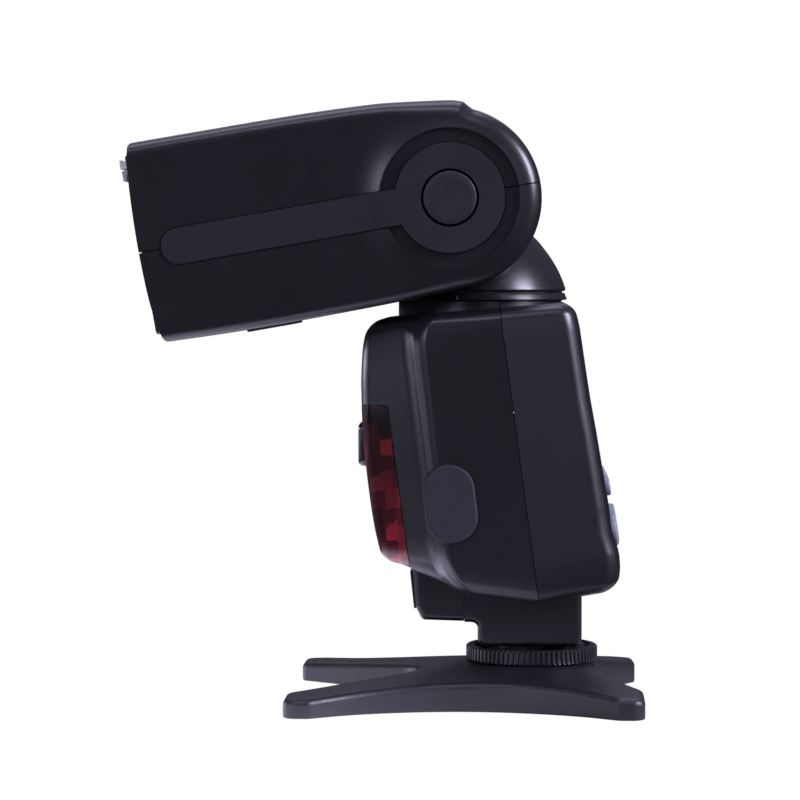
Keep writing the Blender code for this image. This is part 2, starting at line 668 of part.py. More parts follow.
# rear panel: frame x out of the panel, z up it
bez = slab("x", rect(-29.0, 29.0, -27.2, 25.1, 1.8), -2.6, -0.5, 0, 0.4, n=1, seg=2)
BTN = {}
for i, tag in enumerate(("backlight", "mode", "zoom", "sound")):
    BTN["button_" + tag] = (-19.5 + 13.0 * i, -10.0, 4.3, 2.3)
BTN["button_pilot"] = (-19.5, -21.0, 3.8, 3.8)
BTN["button_power"] = (19.5, -21.0, 3.8, 3.8)
holes = []
for y, z, hy, hz in BTN.values():
    holes.append(slab("x", rect(y - hy - 0.3, y + hy + 0.3, z - hz - 0.3, z + hz + 0.3,
                                min(hy, hz) + 0.28), -5, 3, seg=3))
holes.append(cyl("x", (0, 0, -21.0), 5.3, -5, 3, 24))
holes.append(slab("x", rect(-22.0, 22.0, -4.2, 20.6, 1.5), -5, 3, seg=2))
place("control_panel_bezel", cut(bez, *holes), BLACK, PANEL)
place("lcd_window", slab("x", rect(-21.7, 21.7, -3.9, 20.3, 1.3), -2.2, -0.9, seg=2), CLEAR, PANEL)
place("lcd_module", box(-4.6, -2.9, -21.0, 21.0, -3.6, 20.0), ((0.25, 0.3, 0.26), 0.3), PANEL)
for name, (y, z, hy, hz) in BTN.items():
    b = slab("x", rect(y - hy, y + hy, z - hz, z + hz, min(hy, hz) - 0.02), -2.9, 1.4,
             0, 0.5, n=1, seg=3)
    place(name, b, GREYBTN, PANEL)
ringb = revolve([(2.9, -2.9), (5.0, -2.9), (5.0, 1.6), (4.6, 2.0), (3.2, 2.0), (2.9, 1.7)],
                (0, 0, -21.0), "x", 24, ring=True)
place("navigation_ring", ringb, GREYBTN, PANEL)
place("button_ok", cyl("x", (0, 0, -21.0), 2.5, -2.9, 1.7, SMALL, 0.4), GREYBTN, PANEL)

# ================================================================== FOOT
fb = slab("y", [(16.4, 19.9, 0.0), (18.6, 19.7, 0.8), (19.7, 15.2, 1.8), (44.9, 15.2, 2.2),
                (44.9, 28.8, 0), (34.7, 26.6, 0), (23.7, 27.4, 0), (16.4, 28.5, 0)],
          -11.5, 11.5, 0.8, 0.8, n=1)
fb = cut(fb, cyl("z", (FOOT_X, 0, 0), 5.8, 10, 19.5, SMALL),
         cyl("z", (FOOT_X + 7.4, 0, 0), 1.2, 10, 21.0, 10))
place("foot_block", fb, BLACK)
fc = slab("y", [(4.6, 23.5, 1.0), (6.3, 20.7, 1.0), (16.1, 20.2, 0), (16.1, 28.5, 0),
                (12.7, 29.2, 0), (3.9, 32.0, 0)], -11.2, 11.2, 1.0, 1.0, n=1)
place("foot_front_cover", fc, BLACK)
place("metering_sensor_window",
      slab("y", [(3.9, 22.6, 0), (4.35, 22.9, 0), (3.2, 30.9, 0), (2.7, 30.7, 0)], -7.0, 7.0),
      ((0.004, 0.004, 0.005), 0.08))

plate_w, plate_l, plate_t = FOOT_PLATE
hub = join(slab("z", rect(FOOT_X - plate_l / 2, FOOT_X + plate_l / 2, -plate_w / 2,
                          plate_w / 2, 1.0), 5.9, 5.9 + plate_t, seg=2),
           cyl("z", (FOOT_X, 0, 0), 5.5, 7.0, 19.2, SMALL))
hub = cut(hub, cyl("z", (FOOT_X, 0, 0), 1.3, 5, 7.2, 10),
          cyl("z", (FOOT_X + 7.4, 0, 0), 1.2, 5, 21, 10))
place("shoe_foot_plate", hub, STEEL)
place("foot_centre_contact", cyl("z", (FOOT_X, 0, 0), 1.0, 5.75, 6.9, 10, 0.2), BRASS)
place("lock_pin", cyl("z", (FOOT_X + 7.4, 0, 0), 0.9, 5.95, 19.0, 10), STEEL)

teeth = []
for k in range(RING_TEETH):
    a = 2 * math.pi * k / RING_TEETH
    b = 2 * math.pi * (k + 0.5) / RING_TEETH
    teeth.append((RING_R * math.cos(a), RING_R * math.sin(a), 0.0))
    teeth.append(((RING_R - 0.35) * math.cos(b), (RING_R - 0.35) * math.sin(b), 0.0))
ring = shift(slab("z", teeth, RING_Z0, RING_Z1, 0.35, 0.35, n=1), FOOT_X)
ring = cut(ring, cyl("z", (FOOT_X, 0, 0), 9.3, 5, 20, 24))
place("lock_ring", ring, BLACK, at=(FOOT_X, 0, 11.65))

# ================================================================== STAND
def stand_corners():
    half = [(12.0, 0, 10.5), (-26.2, -31.0, 3.0), (-26.2, -42.0, 4.5), (-12.5, -42.0, 5.0),
            (17.0, -10.0, 34.0), (46.5, -42.0, 5.0), (59.8, -42.0, 4.5), (59.8, -31.0, 3.0),
            (43.0, 0, 28.0)]
    other = [(x, -y, r) for x, y, r in reversed(half[1:-1])]
    return half + other


base = slab("z", stand_corners(), 0.0, STAND_WALL_H, 0.0, 1.6, n=1, seg=4)
hill = keep(revolve([(0, 3.0), (36.0, 3.0), (36.0, 5.9), (19.0, 9.1), (17.5, STAND_TOP_H),
                     (0, STAND_TOP_H)], (28.0, 0, 0), seg=ROUND),
            slab("z", stand_corners(), -1, 20, seg=4, d=1.7))
base = join(base, hill)
base = cut(base,
           box(FOOT_X - 9.3, 70, -9.6, 9.6, 5.6, 8.2),
           box(FOOT_X - 9.3, 70, -6.4, 6.4, 7.9, 12),
           cyl("z", (14.0, 0, 0), INSERT_R + 0.3, -1, 5.3, SMALL))
place("stand_base", base, STANDC)
place("stand_thread_insert",
      cut(cyl("z", (14.0, 0, 0), INSERT_R, 0.3, 5.0, SMALL),
          cyl("z", (14.0, 0, 0), 2.6, -1, 4.2, SMALL)), BRASS)
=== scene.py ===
"""Looks of the speedlight flash on its shoe stand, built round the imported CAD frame.

Shapes are worked out in millimetres in the same bench frame as the CAD and are
scaled to metres when a piece is made.
"""

import json
import math

import bmesh
import bpy
from mathutils import Matrix, Vector


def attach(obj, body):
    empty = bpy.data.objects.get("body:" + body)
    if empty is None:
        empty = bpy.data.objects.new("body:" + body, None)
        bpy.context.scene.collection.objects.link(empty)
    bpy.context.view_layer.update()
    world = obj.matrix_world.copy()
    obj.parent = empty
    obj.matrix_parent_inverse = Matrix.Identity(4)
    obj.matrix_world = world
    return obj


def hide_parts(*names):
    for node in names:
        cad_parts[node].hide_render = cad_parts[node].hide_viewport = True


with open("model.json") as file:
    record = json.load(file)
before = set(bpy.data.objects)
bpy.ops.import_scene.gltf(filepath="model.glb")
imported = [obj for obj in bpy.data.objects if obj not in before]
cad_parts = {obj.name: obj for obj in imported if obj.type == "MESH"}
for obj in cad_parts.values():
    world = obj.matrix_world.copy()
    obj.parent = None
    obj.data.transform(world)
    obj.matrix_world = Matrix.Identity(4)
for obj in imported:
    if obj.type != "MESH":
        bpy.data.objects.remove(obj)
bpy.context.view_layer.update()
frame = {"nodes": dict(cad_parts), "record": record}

MM = 0.001
SHIFT_X = 5.02
PIVOT_X, PIVOT_Z = 13.3, 124.0
HEAD_DROOP = 10.0
HEAD_HALF_W = 37.0
HEAD_CHEEK_R = 21.8
HEAD_WALL = 2.0
CHEEK_INNER_Y = 22.0
BOSS_R, BOSS_H = 16.8, 1.2
TRIM_R, TRIM_ARM_HALF, TRIM_ARM_END = 13.1, 4.3, -65.6
BUTTON_R, BUTTON_HOLE_R = 5.8, 6.9
SWIVEL_X = 20.0
NECK_BASE_R = 21.3
NECK_BASE_Z = 101.7
DRUM_R, DRUM_HALF_W = 20.8, 21.5
SHAFT_R = 5.0
BODY_WALL = 2.0
BODY_HALF_W = 36.5
COLLAR_TOP_Z = 101.3
SEAM_TOP, SEAM_BOTTOM = (25.2, 97.1), (34.6, 27.3)
PANEL_LEAN = 9.08
PANEL_X, PANEL_Z = 48.89, 64.29
PORT_X, PORT_Y, PORT_Z, PORT_LEAN = 13.4, -35.6, 51.1, 7.0
FOOT_X = 33.0
FOOT_PLATE = (18.6, 18.0, 2.0)
RING_R, RING_Z0, RING_Z1 = 16.4, 9.8, 13.5
STAND_WALL_H = 6.3
STAND_TOP_H = 9.5
INSERT_R = 3.9
ROUND, SMALL = 96, 40


# ------------------------------------------------------------------ tools
def offset_corners(corners, d):
    """Move every side of an anticlockwise outline inwards by d."""
    out = []
    n = len(corners)
    for i in range(n):
        x0, y0 = corners[i - 1][:2]
        x1, y1, r = corners[i]
        x2, y2 = corners[(i + 1) % n][:2]
        ax, ay = x1 - x0, y1 - y0
        bx, by = x2 - x1, y2 - y1
        la, lb = math.hypot(ax, ay), math.hypot(bx, by)
        ax, ay, bx, by = ax / la, ay / la, bx / lb, by / lb
        nx, ny = -ay - by, ax + bx
        k = d / max(1e-6, 1.0 + (ax * bx + ay * by))
        turn = ax * by - ay * bx
        if r > 0:
            r = max(0.05, r - d) if turn > 0 else r + d
        out.append((x1 + nx * k, y1 + ny * k, r))
    return out


def outline(corners, d=0.0, seg=3):
    """Points of an outline whose corners (x, y, radius) are rounded."""
    pts = []
    cs = offset_corners(corners, d) if d else list(corners)
    n = len(cs)
    for i in range(n):
        p = Vector(cs[i][:2])
        r = cs[i][2]
        if r <= 0:
            pts.append((p.x, p.y))
            continue
        a = (Vector(cs[i - 1][:2]) - p).normalized()
        b = (Vector(cs[(i + 1) % n][:2]) - p).normalized()
        half = math.acos(max(-1.0, min(1.0, a.dot(b)))) / 2
        t = r / math.tan(half)
        centre = p + (a + b).normalized() * (r / math.sin(half))
        s, e = p + a * t - centre, p + b * t - centre
        a0, a1 = math.atan2(s.y, s.x), math.atan2(e.y, e.x)
        da = (a1 - a0 + math.pi) % (2 * math.pi) - math.pi
        for k in range(seg + 1):
            w = a0 + da * k / seg
            pts.append((centre.x + r * math.cos(w), centre.y + r * math.sin(w)))
    return pts


def finish(bm, name="m"):
    """Make one clean mesh, faces out, from a bmesh."""
    bmesh.ops.remove_doubles(bm, verts=bm.verts, dist=1e-4)
    bmesh.ops.recalc_face_normals(bm, faces=bm.faces)
    if bm.calc_volume(signed=True) < 0:
        bmesh.ops.reverse_faces(bm, faces=bm.faces)
    me = bpy.data.meshes.new(name)
    bm.to_mesh(me)
    bm.free()
    return me


def loft(loops, close=False):
    """Skin through loops of 3-D points with equal counts; ends are capped."""
    bm = bmesh.new()
    rows = [[bm.verts.new(p) for p in lp] for lp in loops]
    n = len(rows[0])
    pairs = list(zip(rows, rows[1:]))
    if close:
        pairs.append((rows[-1], rows[0]))
    for lo, hi in pairs:
        for i in range(n):
            j = (i + 1) % n
            bm.faces.new((lo[i], lo[j], hi[j], hi[i]))
    if not close:
        bm.faces.new(rows[0][::-1])
        bm.faces.new(rows[-1])
    return finish(bm)


def to3(axis, u, v, w):
    """Outline plane point (u, v) at height w along an axis."""
    return {"x": (w, u, v), "y": (u, w, v), "z": (u, v, w)}[axis]


def slab(axis, corners, lo, hi, rlo=0.0, rhi=0.0, n=2, seg=3, d=0.0):
    """Outline pushed along an axis, its rims rounded by rlo and rhi."""
    levels = []
    if rlo:
        for i in range(n):
            a = math.pi / 2 * i / n
            levels.append((rlo * (1 - math.sin(a)), lo + rlo * (1 - math.cos(a))))
        levels.append((0.0, lo + rlo))
    else:
        levels.append((0.0, lo))
    if rhi:
        levels.append((0.0, hi - rhi))
        for i in range(n - 1, -1, -1):
            a = math.pi / 2 * i / n
            levels.append((rhi * (1 - math.sin(a)), hi - rhi * (1 - math.cos(a))))
    else:
        levels.append((0.0, hi))
    return loft([[to3(axis, u, v, w) for u, v in outline(corners, d + off, seg)]
                 for off, w in levels])


def rect(u0, u1, v0, v1, r=0.0):
    return [(u0, v0, r), (u1, v0, r), (u1, v1, r), (u0, v1, r)]


def box(x0, x1, y0, y1, z0, z1):
    return slab("z", rect(x0, x1, y0, y1), z0, z1)


def revolve(profile, centre=(0, 0, 0), axis="z", seg=SMALL, ring=False):
    """Turn (radius, height) points about an axis through centre."""
    bm = bmesh.new()
    cols = []
    for k in range(seg):
        a = 2 * math.pi * k / seg
        cols.append([(r * math.cos(a), r * math.sin(a), h) for r, h in profile])
    n = len(profile)
    verts = {}

    def vert(k, i):
        key = (0 if profile[i][0] == 0 else k % seg, i)
        if key not in verts:
            u, v, w = cols[key[0]][i]
            verts[key] = bm.verts.new(Vector(to3(axis, u, v, w)) + Vector(centre))
        return verts[key]

    last = n if ring else n - 1
    for k in range(seg):
        for i in range(last):
            j = (i + 1) % n
            quad = []
            for v in (vert(k, i), vert(k + 1, i), vert(k + 1, j), vert(k, j)):
                if v not in quad:
                    quad.append(v)
            if len(quad) > 2:
                bm.faces.new(quad)
    return finish(bm)


def cyl(axis, centre, r, lo, hi, seg=SMALL, c=0.0):
    """Plain cylinder from lo to hi along an axis, its rims cut by c."""
    prof = [(0, lo)] + ([(r - c, lo), (r, lo + c)] if c else [(r, lo)])
    prof += ([(r, hi - c), (r - c, hi)] if c else [(r, hi)]) + [(0, hi)]
    return revolve(prof, centre, axis, seg)


def tube(axis, centre, r0, r1, lo, hi, seg=SMALL):
    return revolve([(r0, lo), (r1, lo), (r1, hi), (r0, hi)], centre, axis, seg, ring=True)


def boolean(a, others, op="DIFFERENCE"):
    """Exact Boolean of mesh a with each mesh in others."""
    if not isinstance(others, (list, tuple)):
        others = [others]
    base = bpy.data.objects.new("work", a)
    bpy.context.collection.objects.link(base)
    tools = []
    for m in others:
        t = bpy.data.objects.new("cutter", m)
        bpy.context.collection.objects.link(t)
        mod = base.modifiers.new("cut", "BOOLEAN")
        mod.object, mod.operation, mod.solver = t, op, "EXACT"
        tools.append(t)
    dg = bpy.context.evaluated_depsgraph_get()
    dg.update()
    me = bpy.data.meshes.new_from_object(base.evaluated_get(dg))
    for o in [base] + tools:
        bpy.data.objects.remove(o, do_unlink=True)
    bm = bmesh.new()
    bm.from_mesh(me)
    bmesh.ops.remove_doubles(bm, verts=bm.verts, dist=2e-4)
    bmesh.ops.dissolve_degenerate(bm, edges=bm.edges, dist=1e-4)
    bmesh.ops.dissolve_limit(bm, angle_limit=math.radians(0.2), verts=bm.verts,
                             edges=bm.edges)
    bmesh.ops.triangulate(bm, faces=[f for f in bm.faces if len(f.verts) > 4])
    bm.to_mesh(me)
    bm.free()
    return me


def cut(a, *others):
    return boolean(a, list(others), "DIFFERENCE")


def join(a, *others):
    return boolean(a, list(others), "UNION")


def keep(a, *others):
    return boolean(a, list(others), "INTERSECT")


def moved(me, m):
    me = me.copy()
    me.transform(m)
    return me


def shift(me, x=0.0, y=0.0, z=0.0):
    return moved(me, Matrix.Translation((x, y, z)))


def interp(table, v):
    """Straight-line reading of a table of (key, value) with rising keys."""
    if v <= table[0][0]:
        return table[0][1]
    for (a, fa), (b, fb) in zip(table, table[1:]):
        if v <= b:
            return fa + (fb - fa) * (v - a) / (b - a)
    return table[-1][1]


def dense(table, step=1.0, window=0.0):
    """The same curve as a (key, value) table, sampled finely and smoothed."""
    lo, hi = table[0][0], table[-1][0]
    n = int((hi - lo) / step)
    out = []
    for i in range(n + 1):
        v = lo + (hi - lo) * i / n
        if window:
            s = sum(interp(table, v + window * k / 6) for k in range(-6, 7)) / 13
        else:
            s = interp(table, v)
        out.append((v, s))
    return out


def curve(pts, per=6):
    """Catmull-Rom points through a list of (x, y)."""
    out = []
    for i in range(len(pts) - 1):
        p0 = pts[max(0, i - 1)]
        p1, p2 = pts[i], pts[i + 1]
        p3 = pts[min(len(pts) - 1, i + 2)]
        for k in range(per):
            t = k / per
            out.append(tuple(0.5 * (2 * p1[c] + (p2[c] - p0[c]) * t
                                    + (2 * p0[c] - 5 * p1[c] + 4 * p2[c] - p3[c]) * t * t
                                    + (3 * p1[c] - p0[c] - 3 * p2[c] + p3[c]) * t ** 3)
                             for c in (0, 1)))
    out.append(tuple(pts[-1][:2]))
    return out


# ------------------------------------------------------------------ materials
def nodes_of(name):
    m = bpy.data.materials.new(name)
    m.use_nodes = True
    nt = m.node_tree
    return m, nt, nt.nodes["Principled BSDF"]


def ramp(nt, fac, stops):
    r = nt.nodes.new("ShaderNodeValToRGB")
    r.color_ramp.elements[0].position, r.color_ramp.elements[0].color = stops[0][0], stops[0][1]
    r.color_ramp.elements[1].position, r.color_ramp.elements[1].color = stops[-1][0], stops[-1][1]
    for p, c in stops[1:-1]:
        e = r.color_ramp.elements.new(p)
        e.color = c
    nt.links.new(fac, r.inputs["Fac"])
    return r.outputs["Color"]


def grey(v):
    return (v, v, v, 1)


def noise(nt, coord, scale, detail=2.0, rough=0.5):
    n = nt.nodes.new("ShaderNodeTexNoise")
    n.inputs["Scale"].default_value = scale
    n.inputs["Detail"].default_value = detail
    n.inputs["Roughness"].default_value = rough
    nt.links.new(coord, n.inputs["Vector"])
    return n.outputs["Fac"]


def plastic(name, colour, rough, grain=0.22, depth=0.006, var=0.12, spec=0.5, coat=0.0):
    """Moulded plastic: fine spark-eroded grain, mottled gloss, faint tone drift."""
    m, nt, p = nodes_of(name)
    tc = nt.nodes.new("ShaderNodeTexCoord").outputs["Object"]
    fine = noise(nt, tc, 1000.0 / grain, 2.0, 0.6)
    broad = noise(nt, tc, 45.0, 3.0, 0.6)
    mid = noise(nt, tc, 420.0, 2.0, 0.5)
    c = colour
    lo, hi = [tuple(x * k for x in c) + (1,) for k in (0.86, 1.16)]
    col = ramp(nt, broad, [(0.3, lo), (0.7, hi)])
    nt.links.new(col, p.inputs["Base Color"])
    rr = ramp(nt, mid, [(0.3, grey(max(0.03, rough * (1 - var)))),
                        (0.7, grey(min(1.0, rough * (1 + var))))])
    nt.links.new(rr, p.inputs["Roughness"])
    b = nt.nodes.new("ShaderNodeBump")
    b.inputs["Strength"].default_value = 1.0
    b.inputs["Distance"].default_value = depth * MM
    nt.links.new(fine, b.inputs["Height"])
    nt.links.new(b.outputs["Normal"], p.inputs["Normal"])
    p.inputs["Specular IOR Level"].default_value = spec
    if coat:
        p.inputs["Coat Weight"].default_value = coat
        p.inputs["Coat Roughness"].default_value = 0.12
    m.diffuse_color = (*colour, 1)
    return m


def metal(name, colour, rough, axis_scale=(1, 1, 40), depth=0.002):
    """Turned or rolled metal with fine drawn lines along one direction."""
    m, nt, p = nodes_of(name)
    tc = nt.nodes.new("ShaderNodeTexCoord").outputs["Object"]
    mp = nt.nodes.new("ShaderNodeMapping")
    mp.inputs["Scale"].default_value = axis_scale
    nt.links.new(tc, mp.inputs["Vector"])
    lines = noise(nt, mp.outputs["Vector"], 900.0, 3.0, 0.6)
    broad = noise(nt, tc, 90.0, 3.0, 0.6)
    lo, hi = [tuple(x * k for x in colour) + (1,) for k in (0.82, 1.0)]
    nt.links.new(ramp(nt, broad, [(0.25, lo), (0.75, hi)]), p.inputs["Base Color"])
    nt.links.new(ramp(nt, lines, [(0.3, grey(rough * 0.75)), (0.7, grey(rough * 1.3))]),
                 p.inputs["Roughness"])
    b = nt.nodes.new("ShaderNodeBump")
    b.inputs["Strength"].default_value = 1.0
    b.inputs["Distance"].default_value = depth * MM
    nt.links.new(lines, b.inputs["Height"])
    nt.links.new(b.outputs["Normal"], p.inputs["Normal"])
    p.inputs["Metallic"].default_value = 1.0
    return m


def clear(name, colour, rough, transmission, ior=1.49, var=0.3, scale=200.0):
    m, nt, p = nodes_of(name)
    tc = nt.nodes.new("ShaderNodeTexCoord").outputs["Object"]
    broad = noise(nt, tc, scale, 2.0, 0.5)
    lo, hi = [tuple(min(1.0, x * k) for x in colour) + (1,) for k in (1 - var, 1.0)]
    nt.links.new(ramp(nt, broad, [(0.35, lo), (0.65, hi)]), p.inputs["Base Color"])
    nt.links.new(ramp(nt, noise(nt, tc, 60.0, 2.0, 0.5),
                      [(0.3, grey(rough * 0.7)), (0.7, grey(rough * 1.4))]), p.inputs["Roughness"])
    p.inputs["Transmission Weight"].default_value = transmission
    p.inputs["IOR"].default_value = ior
    return m


M_HEAD = plastic("shell_black", (0.0074, 0.0072, 0.0086), 0.31, 0.30, 0.0012, 0.05)
M_DARK = plastic("recess_black", (0.006, 0.006, 0.007), 0.5, 0.2, 0.003)
M_TRIM = plastic("trim_matte", (0.0086, 0.0086, 0.0125), 0.60, 0.16, 0.004, 0.06, 0.36)
M_CAP = plastic("cap_black", (0.0085, 0.0085, 0.0105), 0.5, 0.18, 0.004, 0.1)
M_RUBBER = plastic("rubber_grey", (0.0160, 0.0168, 0.0240), 0.72, 0.14, 0.008, 0.06, 0.4)
M_STAND = plastic("stand_grain", (0.0105, 0.0105, 0.0125), 0.40, 0.55, 0.085, 0.14)
M_RING = plastic("ring_black", (0.011, 0.011, 0.0125), 0.42, 0.2, 0.004, 0.12)
M_GLOSS = plastic("window_black", (0.006, 0.0065, 0.009), 0.12, 0.8, 0.0004, 0.3, coat=0.6)
M_BTN = plastic("button_grey", (0.215, 0.24, 0.285), 0.5, 0.15, 0.005, 0.1)
M_BTN2 = plastic("button_dark", (0.05, 0.055, 0.065), 0.5, 0.15, 0.005, 0.1)
M_CARD = plastic("card_white", (0.70, 0.69, 0.66), 0.55, 0.2, 0.004, 0.1)
M_BOARD = plastic("laminate_green", (0.012, 0.075, 0.03), 0.4, 0.5, 0.01, 0.2)
M_CELL = plastic("cell_sleeve", (0.045, 0.09, 0.22), 0.3, 0.4, 0.002, 0.2)
M_CAPAC = plastic("capacitor_sleeve", (0.02, 0.028, 0.06), 0.3, 0.4, 0.002, 0.2)
M_MARK = plastic("index_mark", (0.075, 0.075, 0.080), 0.5, 0.2, 0.002)
M_STEEL = metal("steel", (0.60, 0.60, 0.62), 0.28)
M_SHEET = metal("reflector_sheet", (0.86, 0.86, 0.88), 0.14, (1, 30, 1), 0.001)
M_BRASS = metal("brass", (0.78, 0.58, 0.28), 0.3)
M_COPPER = metal("copper_contact", (0.80, 0.46, 0.28), 0.3)
M_CLEAR = clear("clear_plastic", (0.93, 0.94, 0.95), 0.12, 0.88, var=0.06)
M_FROST = clear("frosted_plastic", (0.86, 0.87, 0.88), 0.35, 0.6, var=0.08)
M_GLASS = clear("tube_glass", (0.95, 0.96, 0.96), 0.04, 0.95, 1.47, var=0.04)
M_REDLENS = clear("red_lens", (0.35, 0.01, 0.015), 0.05, 0.8, 1.5, var=0.2)


def lcd_material():
    m, nt, p = nodes_of("lcd_panel")
    tc = nt.nodes.new("ShaderNodeTexCoord").outputs["Object"]
    dots = nt.nodes.new("ShaderNodeTexChecker")
    dots.inputs["Scale"].default_value = 2600.0
    dots.inputs["Color1"].default_value = (0.150, 0.175, 0.140, 1)
    dots.inputs["Color2"].default_value = (0.185, 0.210, 0.170, 1)
    nt.links.new(tc, dots.inputs["Vector"])
    nt.links.new(dots.outputs["Color"], p.inputs["Base Color"])
    nt.links.new(ramp(nt, noise(nt, tc, 70.0), [(0.3, grey(0.22)), (0.7, grey(0.32))]),
                 p.inputs["Roughness"])
    return m


M_LCD = lcd_material()


def red_material():
    """Deep red window, with the shapes behind it showing as square patches and a painted highlight
    along its bottom lip.
    """
    m, nt, p = nodes_of("red_window")
    tc = nt.nodes.new("ShaderNodeTexCoord").outputs["Object"]
    mp = nt.nodes.new("ShaderNodeMapping")
    mp.inputs["Scale"].default_value = (330.0, 70.0, 240.0)
    mp.inputs["Rotation"].default_value = (0.0, 0.09, 0.0)
    nt.links.new(tc, mp.inputs["Vector"])
    cells = nt.nodes.new("ShaderNodeTexVoronoi")
    cells.distance = "CHEBYCHEV"
    cells.inputs["Scale"].default_value = 1.0
    cells.inputs["Randomness"].default_value = 0.42
    nt.links.new(mp.outputs["Vector"], cells.inputs["Vector"])
    bw = nt.nodes.new("ShaderNodeRGBToBW")
    nt.links.new(cells.outputs["Color"], bw.inputs["Color"])
    col = ramp(nt, bw.outputs["Val"], [(0.25, (0.018, 0.0022, 0.0034, 1)),
                                       (0.45, (0.070, 0.006, 0.010, 1)),
                                       (0.60, (0.13, 0.010, 0.016, 1)),
                                       (0.8, (0.25, 0.014, 0.022, 1))])
    sep = nt.nodes.new("ShaderNodeSeparateXYZ")
    nt.links.new(tc, sep.inputs[0])
    fade = nt.nodes.new("ShaderNodeMapRange")
    fade.inputs["From Min"].default_value = 0.0395
    fade.inputs["From Max"].default_value = 0.074
    fade.inputs["To Min"].default_value = 1.15
    fade.inputs["To Max"].default_value = 0.32
    nt.links.new(sep.outputs["Z"], fade.inputs["Value"])
    scale = nt.nodes.new("ShaderNodeVectorMath")
    scale.operation = "SCALE"
    nt.links.new(col, scale.inputs[0])
    nt.links.new(fade.outputs["Result"], scale.inputs["Scale"])
    # painted highlight: a pale pink band along the bottom lip of the window, with a dark red line
    # just above it
    lip_highlight_paint = ramp(nt, sep.outputs["Z"], [(0.0384, (0.30, 0.16, 0.16, 1)),
                                      (0.0388, (0.040, 0.001, 0.002, 1)),
                                      (0.0402, (0.040, 0.001, 0.002, 1)),
                                      (0.0407, (0, 0, 0, 1))])
    total = nt.nodes.new("ShaderNodeVectorMath")
    nt.links.new(scale.outputs[0], total.inputs[0])
    nt.links.new(lip_highlight_paint, total.inputs[1])
    nt.links.new(total.outputs[0], p.inputs["Base Color"])
    nt.links.new(ramp(nt, noise(nt, tc, 90.0), [(0.3, grey(0.10)), (0.7, grey(0.16))]),
                 p.inputs["Roughness"])
    p.inputs["Transmission Weight"].default_value = 0.1
    p.inputs["IOR"].default_value = 1.5
    p.inputs["Specular IOR Level"].default_value = 0.32
    return m


M_RED = red_material()

# ------------------------------------------------------------------ placing
BENCH = Matrix.Translation((SHIFT_X * MM, 0, 0)) @ Matrix.Scale(MM, 4)
HEAD = (Matrix.Translation(((PIVOT_X + SHIFT_X) * MM, 0, PIVOT_Z * MM))
        @ Matrix.Rotation(-math.radians(HEAD_DROOP), 4, "Y") @ Matrix.Scale(MM, 4))
NECK = Matrix.Translation(((SWIVEL_X + SHIFT_X) * MM, 0, 0)) @ Matrix.Scale(MM, 4)
PANEL = (Matrix.Translation(((PANEL_X + SHIFT_X) * MM, 0, PANEL_Z * MM))
         @ Matrix.Rotation(-math.radians(PANEL_LEAN), 4, "Y") @ Matrix.Scale(MM, 4))
PORT = (Matrix.Translation(((PORT_X + SHIFT_X) * MM, PORT_Y * MM, PORT_Z * MM))
        @ Matrix.Rotation(-math.radians(PORT_LEAN), 4, "Y") @ Matrix.Scale(MM, 4))
SLOTS = {}


def put(name, me, frame_m, mat, body, cad=(), bevel=0.0, segs=2,
        smooth=32.0, mats=(), weighted=True):
    """One visible piece: mesh in its frame's millimetres, on a body, standing for CAD nodes."""
    if len(me.polygons) < 4:
        raise ValueError("empty piece: " + name)
    me = me.copy()
    me.transform(frame_m)
    me.name = name
    me.materials.clear()
    me.materials.append(mat)
    for extra in mats:
        me.materials.append(extra)
    me.shade_smooth()
    me.set_sharp_from_angle(angle=math.radians(smooth))
    ob = bpy.data.objects.new(name, me)
    bpy.context.scene.collection.objects.link(ob)
    if bevel:
        b = ob.modifiers.new("edge", "BEVEL")
        b.width, b.segments = bevel * MM, segs
        b.limit_method, b.angle_limit = "ANGLE", math.radians(38)
        b.use_clamp_overlap = True
        b.harden_normals = False
    if weighted:
        w = ob.modifiers.new("normals", "WEIGHTED_NORMAL")
        w.keep_sharp = True
        w.weight = 60
    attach(ob, body)
    if cad:
        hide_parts(*cad)
    return ob


def star_block(axis, loops, centre, rings, height, cap_r=None):
    """Closed block from outline loops (points, level) whose two ends are filled with rings
    drawn towards a centre; height(u, v, side) lifts every point of an end outwards."""
    bm = bmesh.new()
    n = len(loops[0][0])
    lo, hi = loops[0], loops[-1]

    def inner(pts, frac, level):
        out = []
        for u, v in pts:
            du, dv = u - centre[0], v - centre[1]
            r = math.hypot(du, dv)
            rr = cap_r + (r - cap_r) * frac
            out.append((centre[0] + du / r * rr, centre[1] + dv / r * rr))
        return out, level

    rows = []
    for f in reversed(rings):
        rows.append(inner(lo[0], f, lo[1]) + (-1,))
    for pts, level in loops:
        rows.append((pts, level, -1 if level < (lo[1] + hi[1]) / 2 else 1))
    for f in rings:
        rows.append(inner(hi[0], f, hi[1]) + (1,))
    verts = []
    for pts, level, side in rows:
        verts.append([bm.verts.new(to3(axis, u, v, level + side * height(u, v, side)))
                      for u, v in pts])
    for a, b in zip(verts, verts[1:]):
        for i in range(n):
            j = (i + 1) % n
            bm.faces.new((a[i], a[j], b[j], b[i]))
    bm.faces.new(verts[0][::-1])
    bm.faces.new(verts[-1])
    return finish(bm)


# ------------------------------------------------------------------ head
def arc(cx, cy, r, a0, a1, n):
    return [(cx + r * math.cos(math.radians(a0 + (a1 - a0) * k / n)),
             cy + r * math.sin(math.radians(a0 + (a1 - a0) * k / n)), 0.0)
            for k in range(n + 1)]


def flat0(pts):
    return [(p[0], p[1], 0.0) for p in pts]


HEAD_FRONT = curve([(-74.15, 23.5), (-74.9, 16.0), (-75.3, 6.0), (-75.3, -3.0), (-74.9, -12.2),
                    (-73.9, -19.6)], 4)


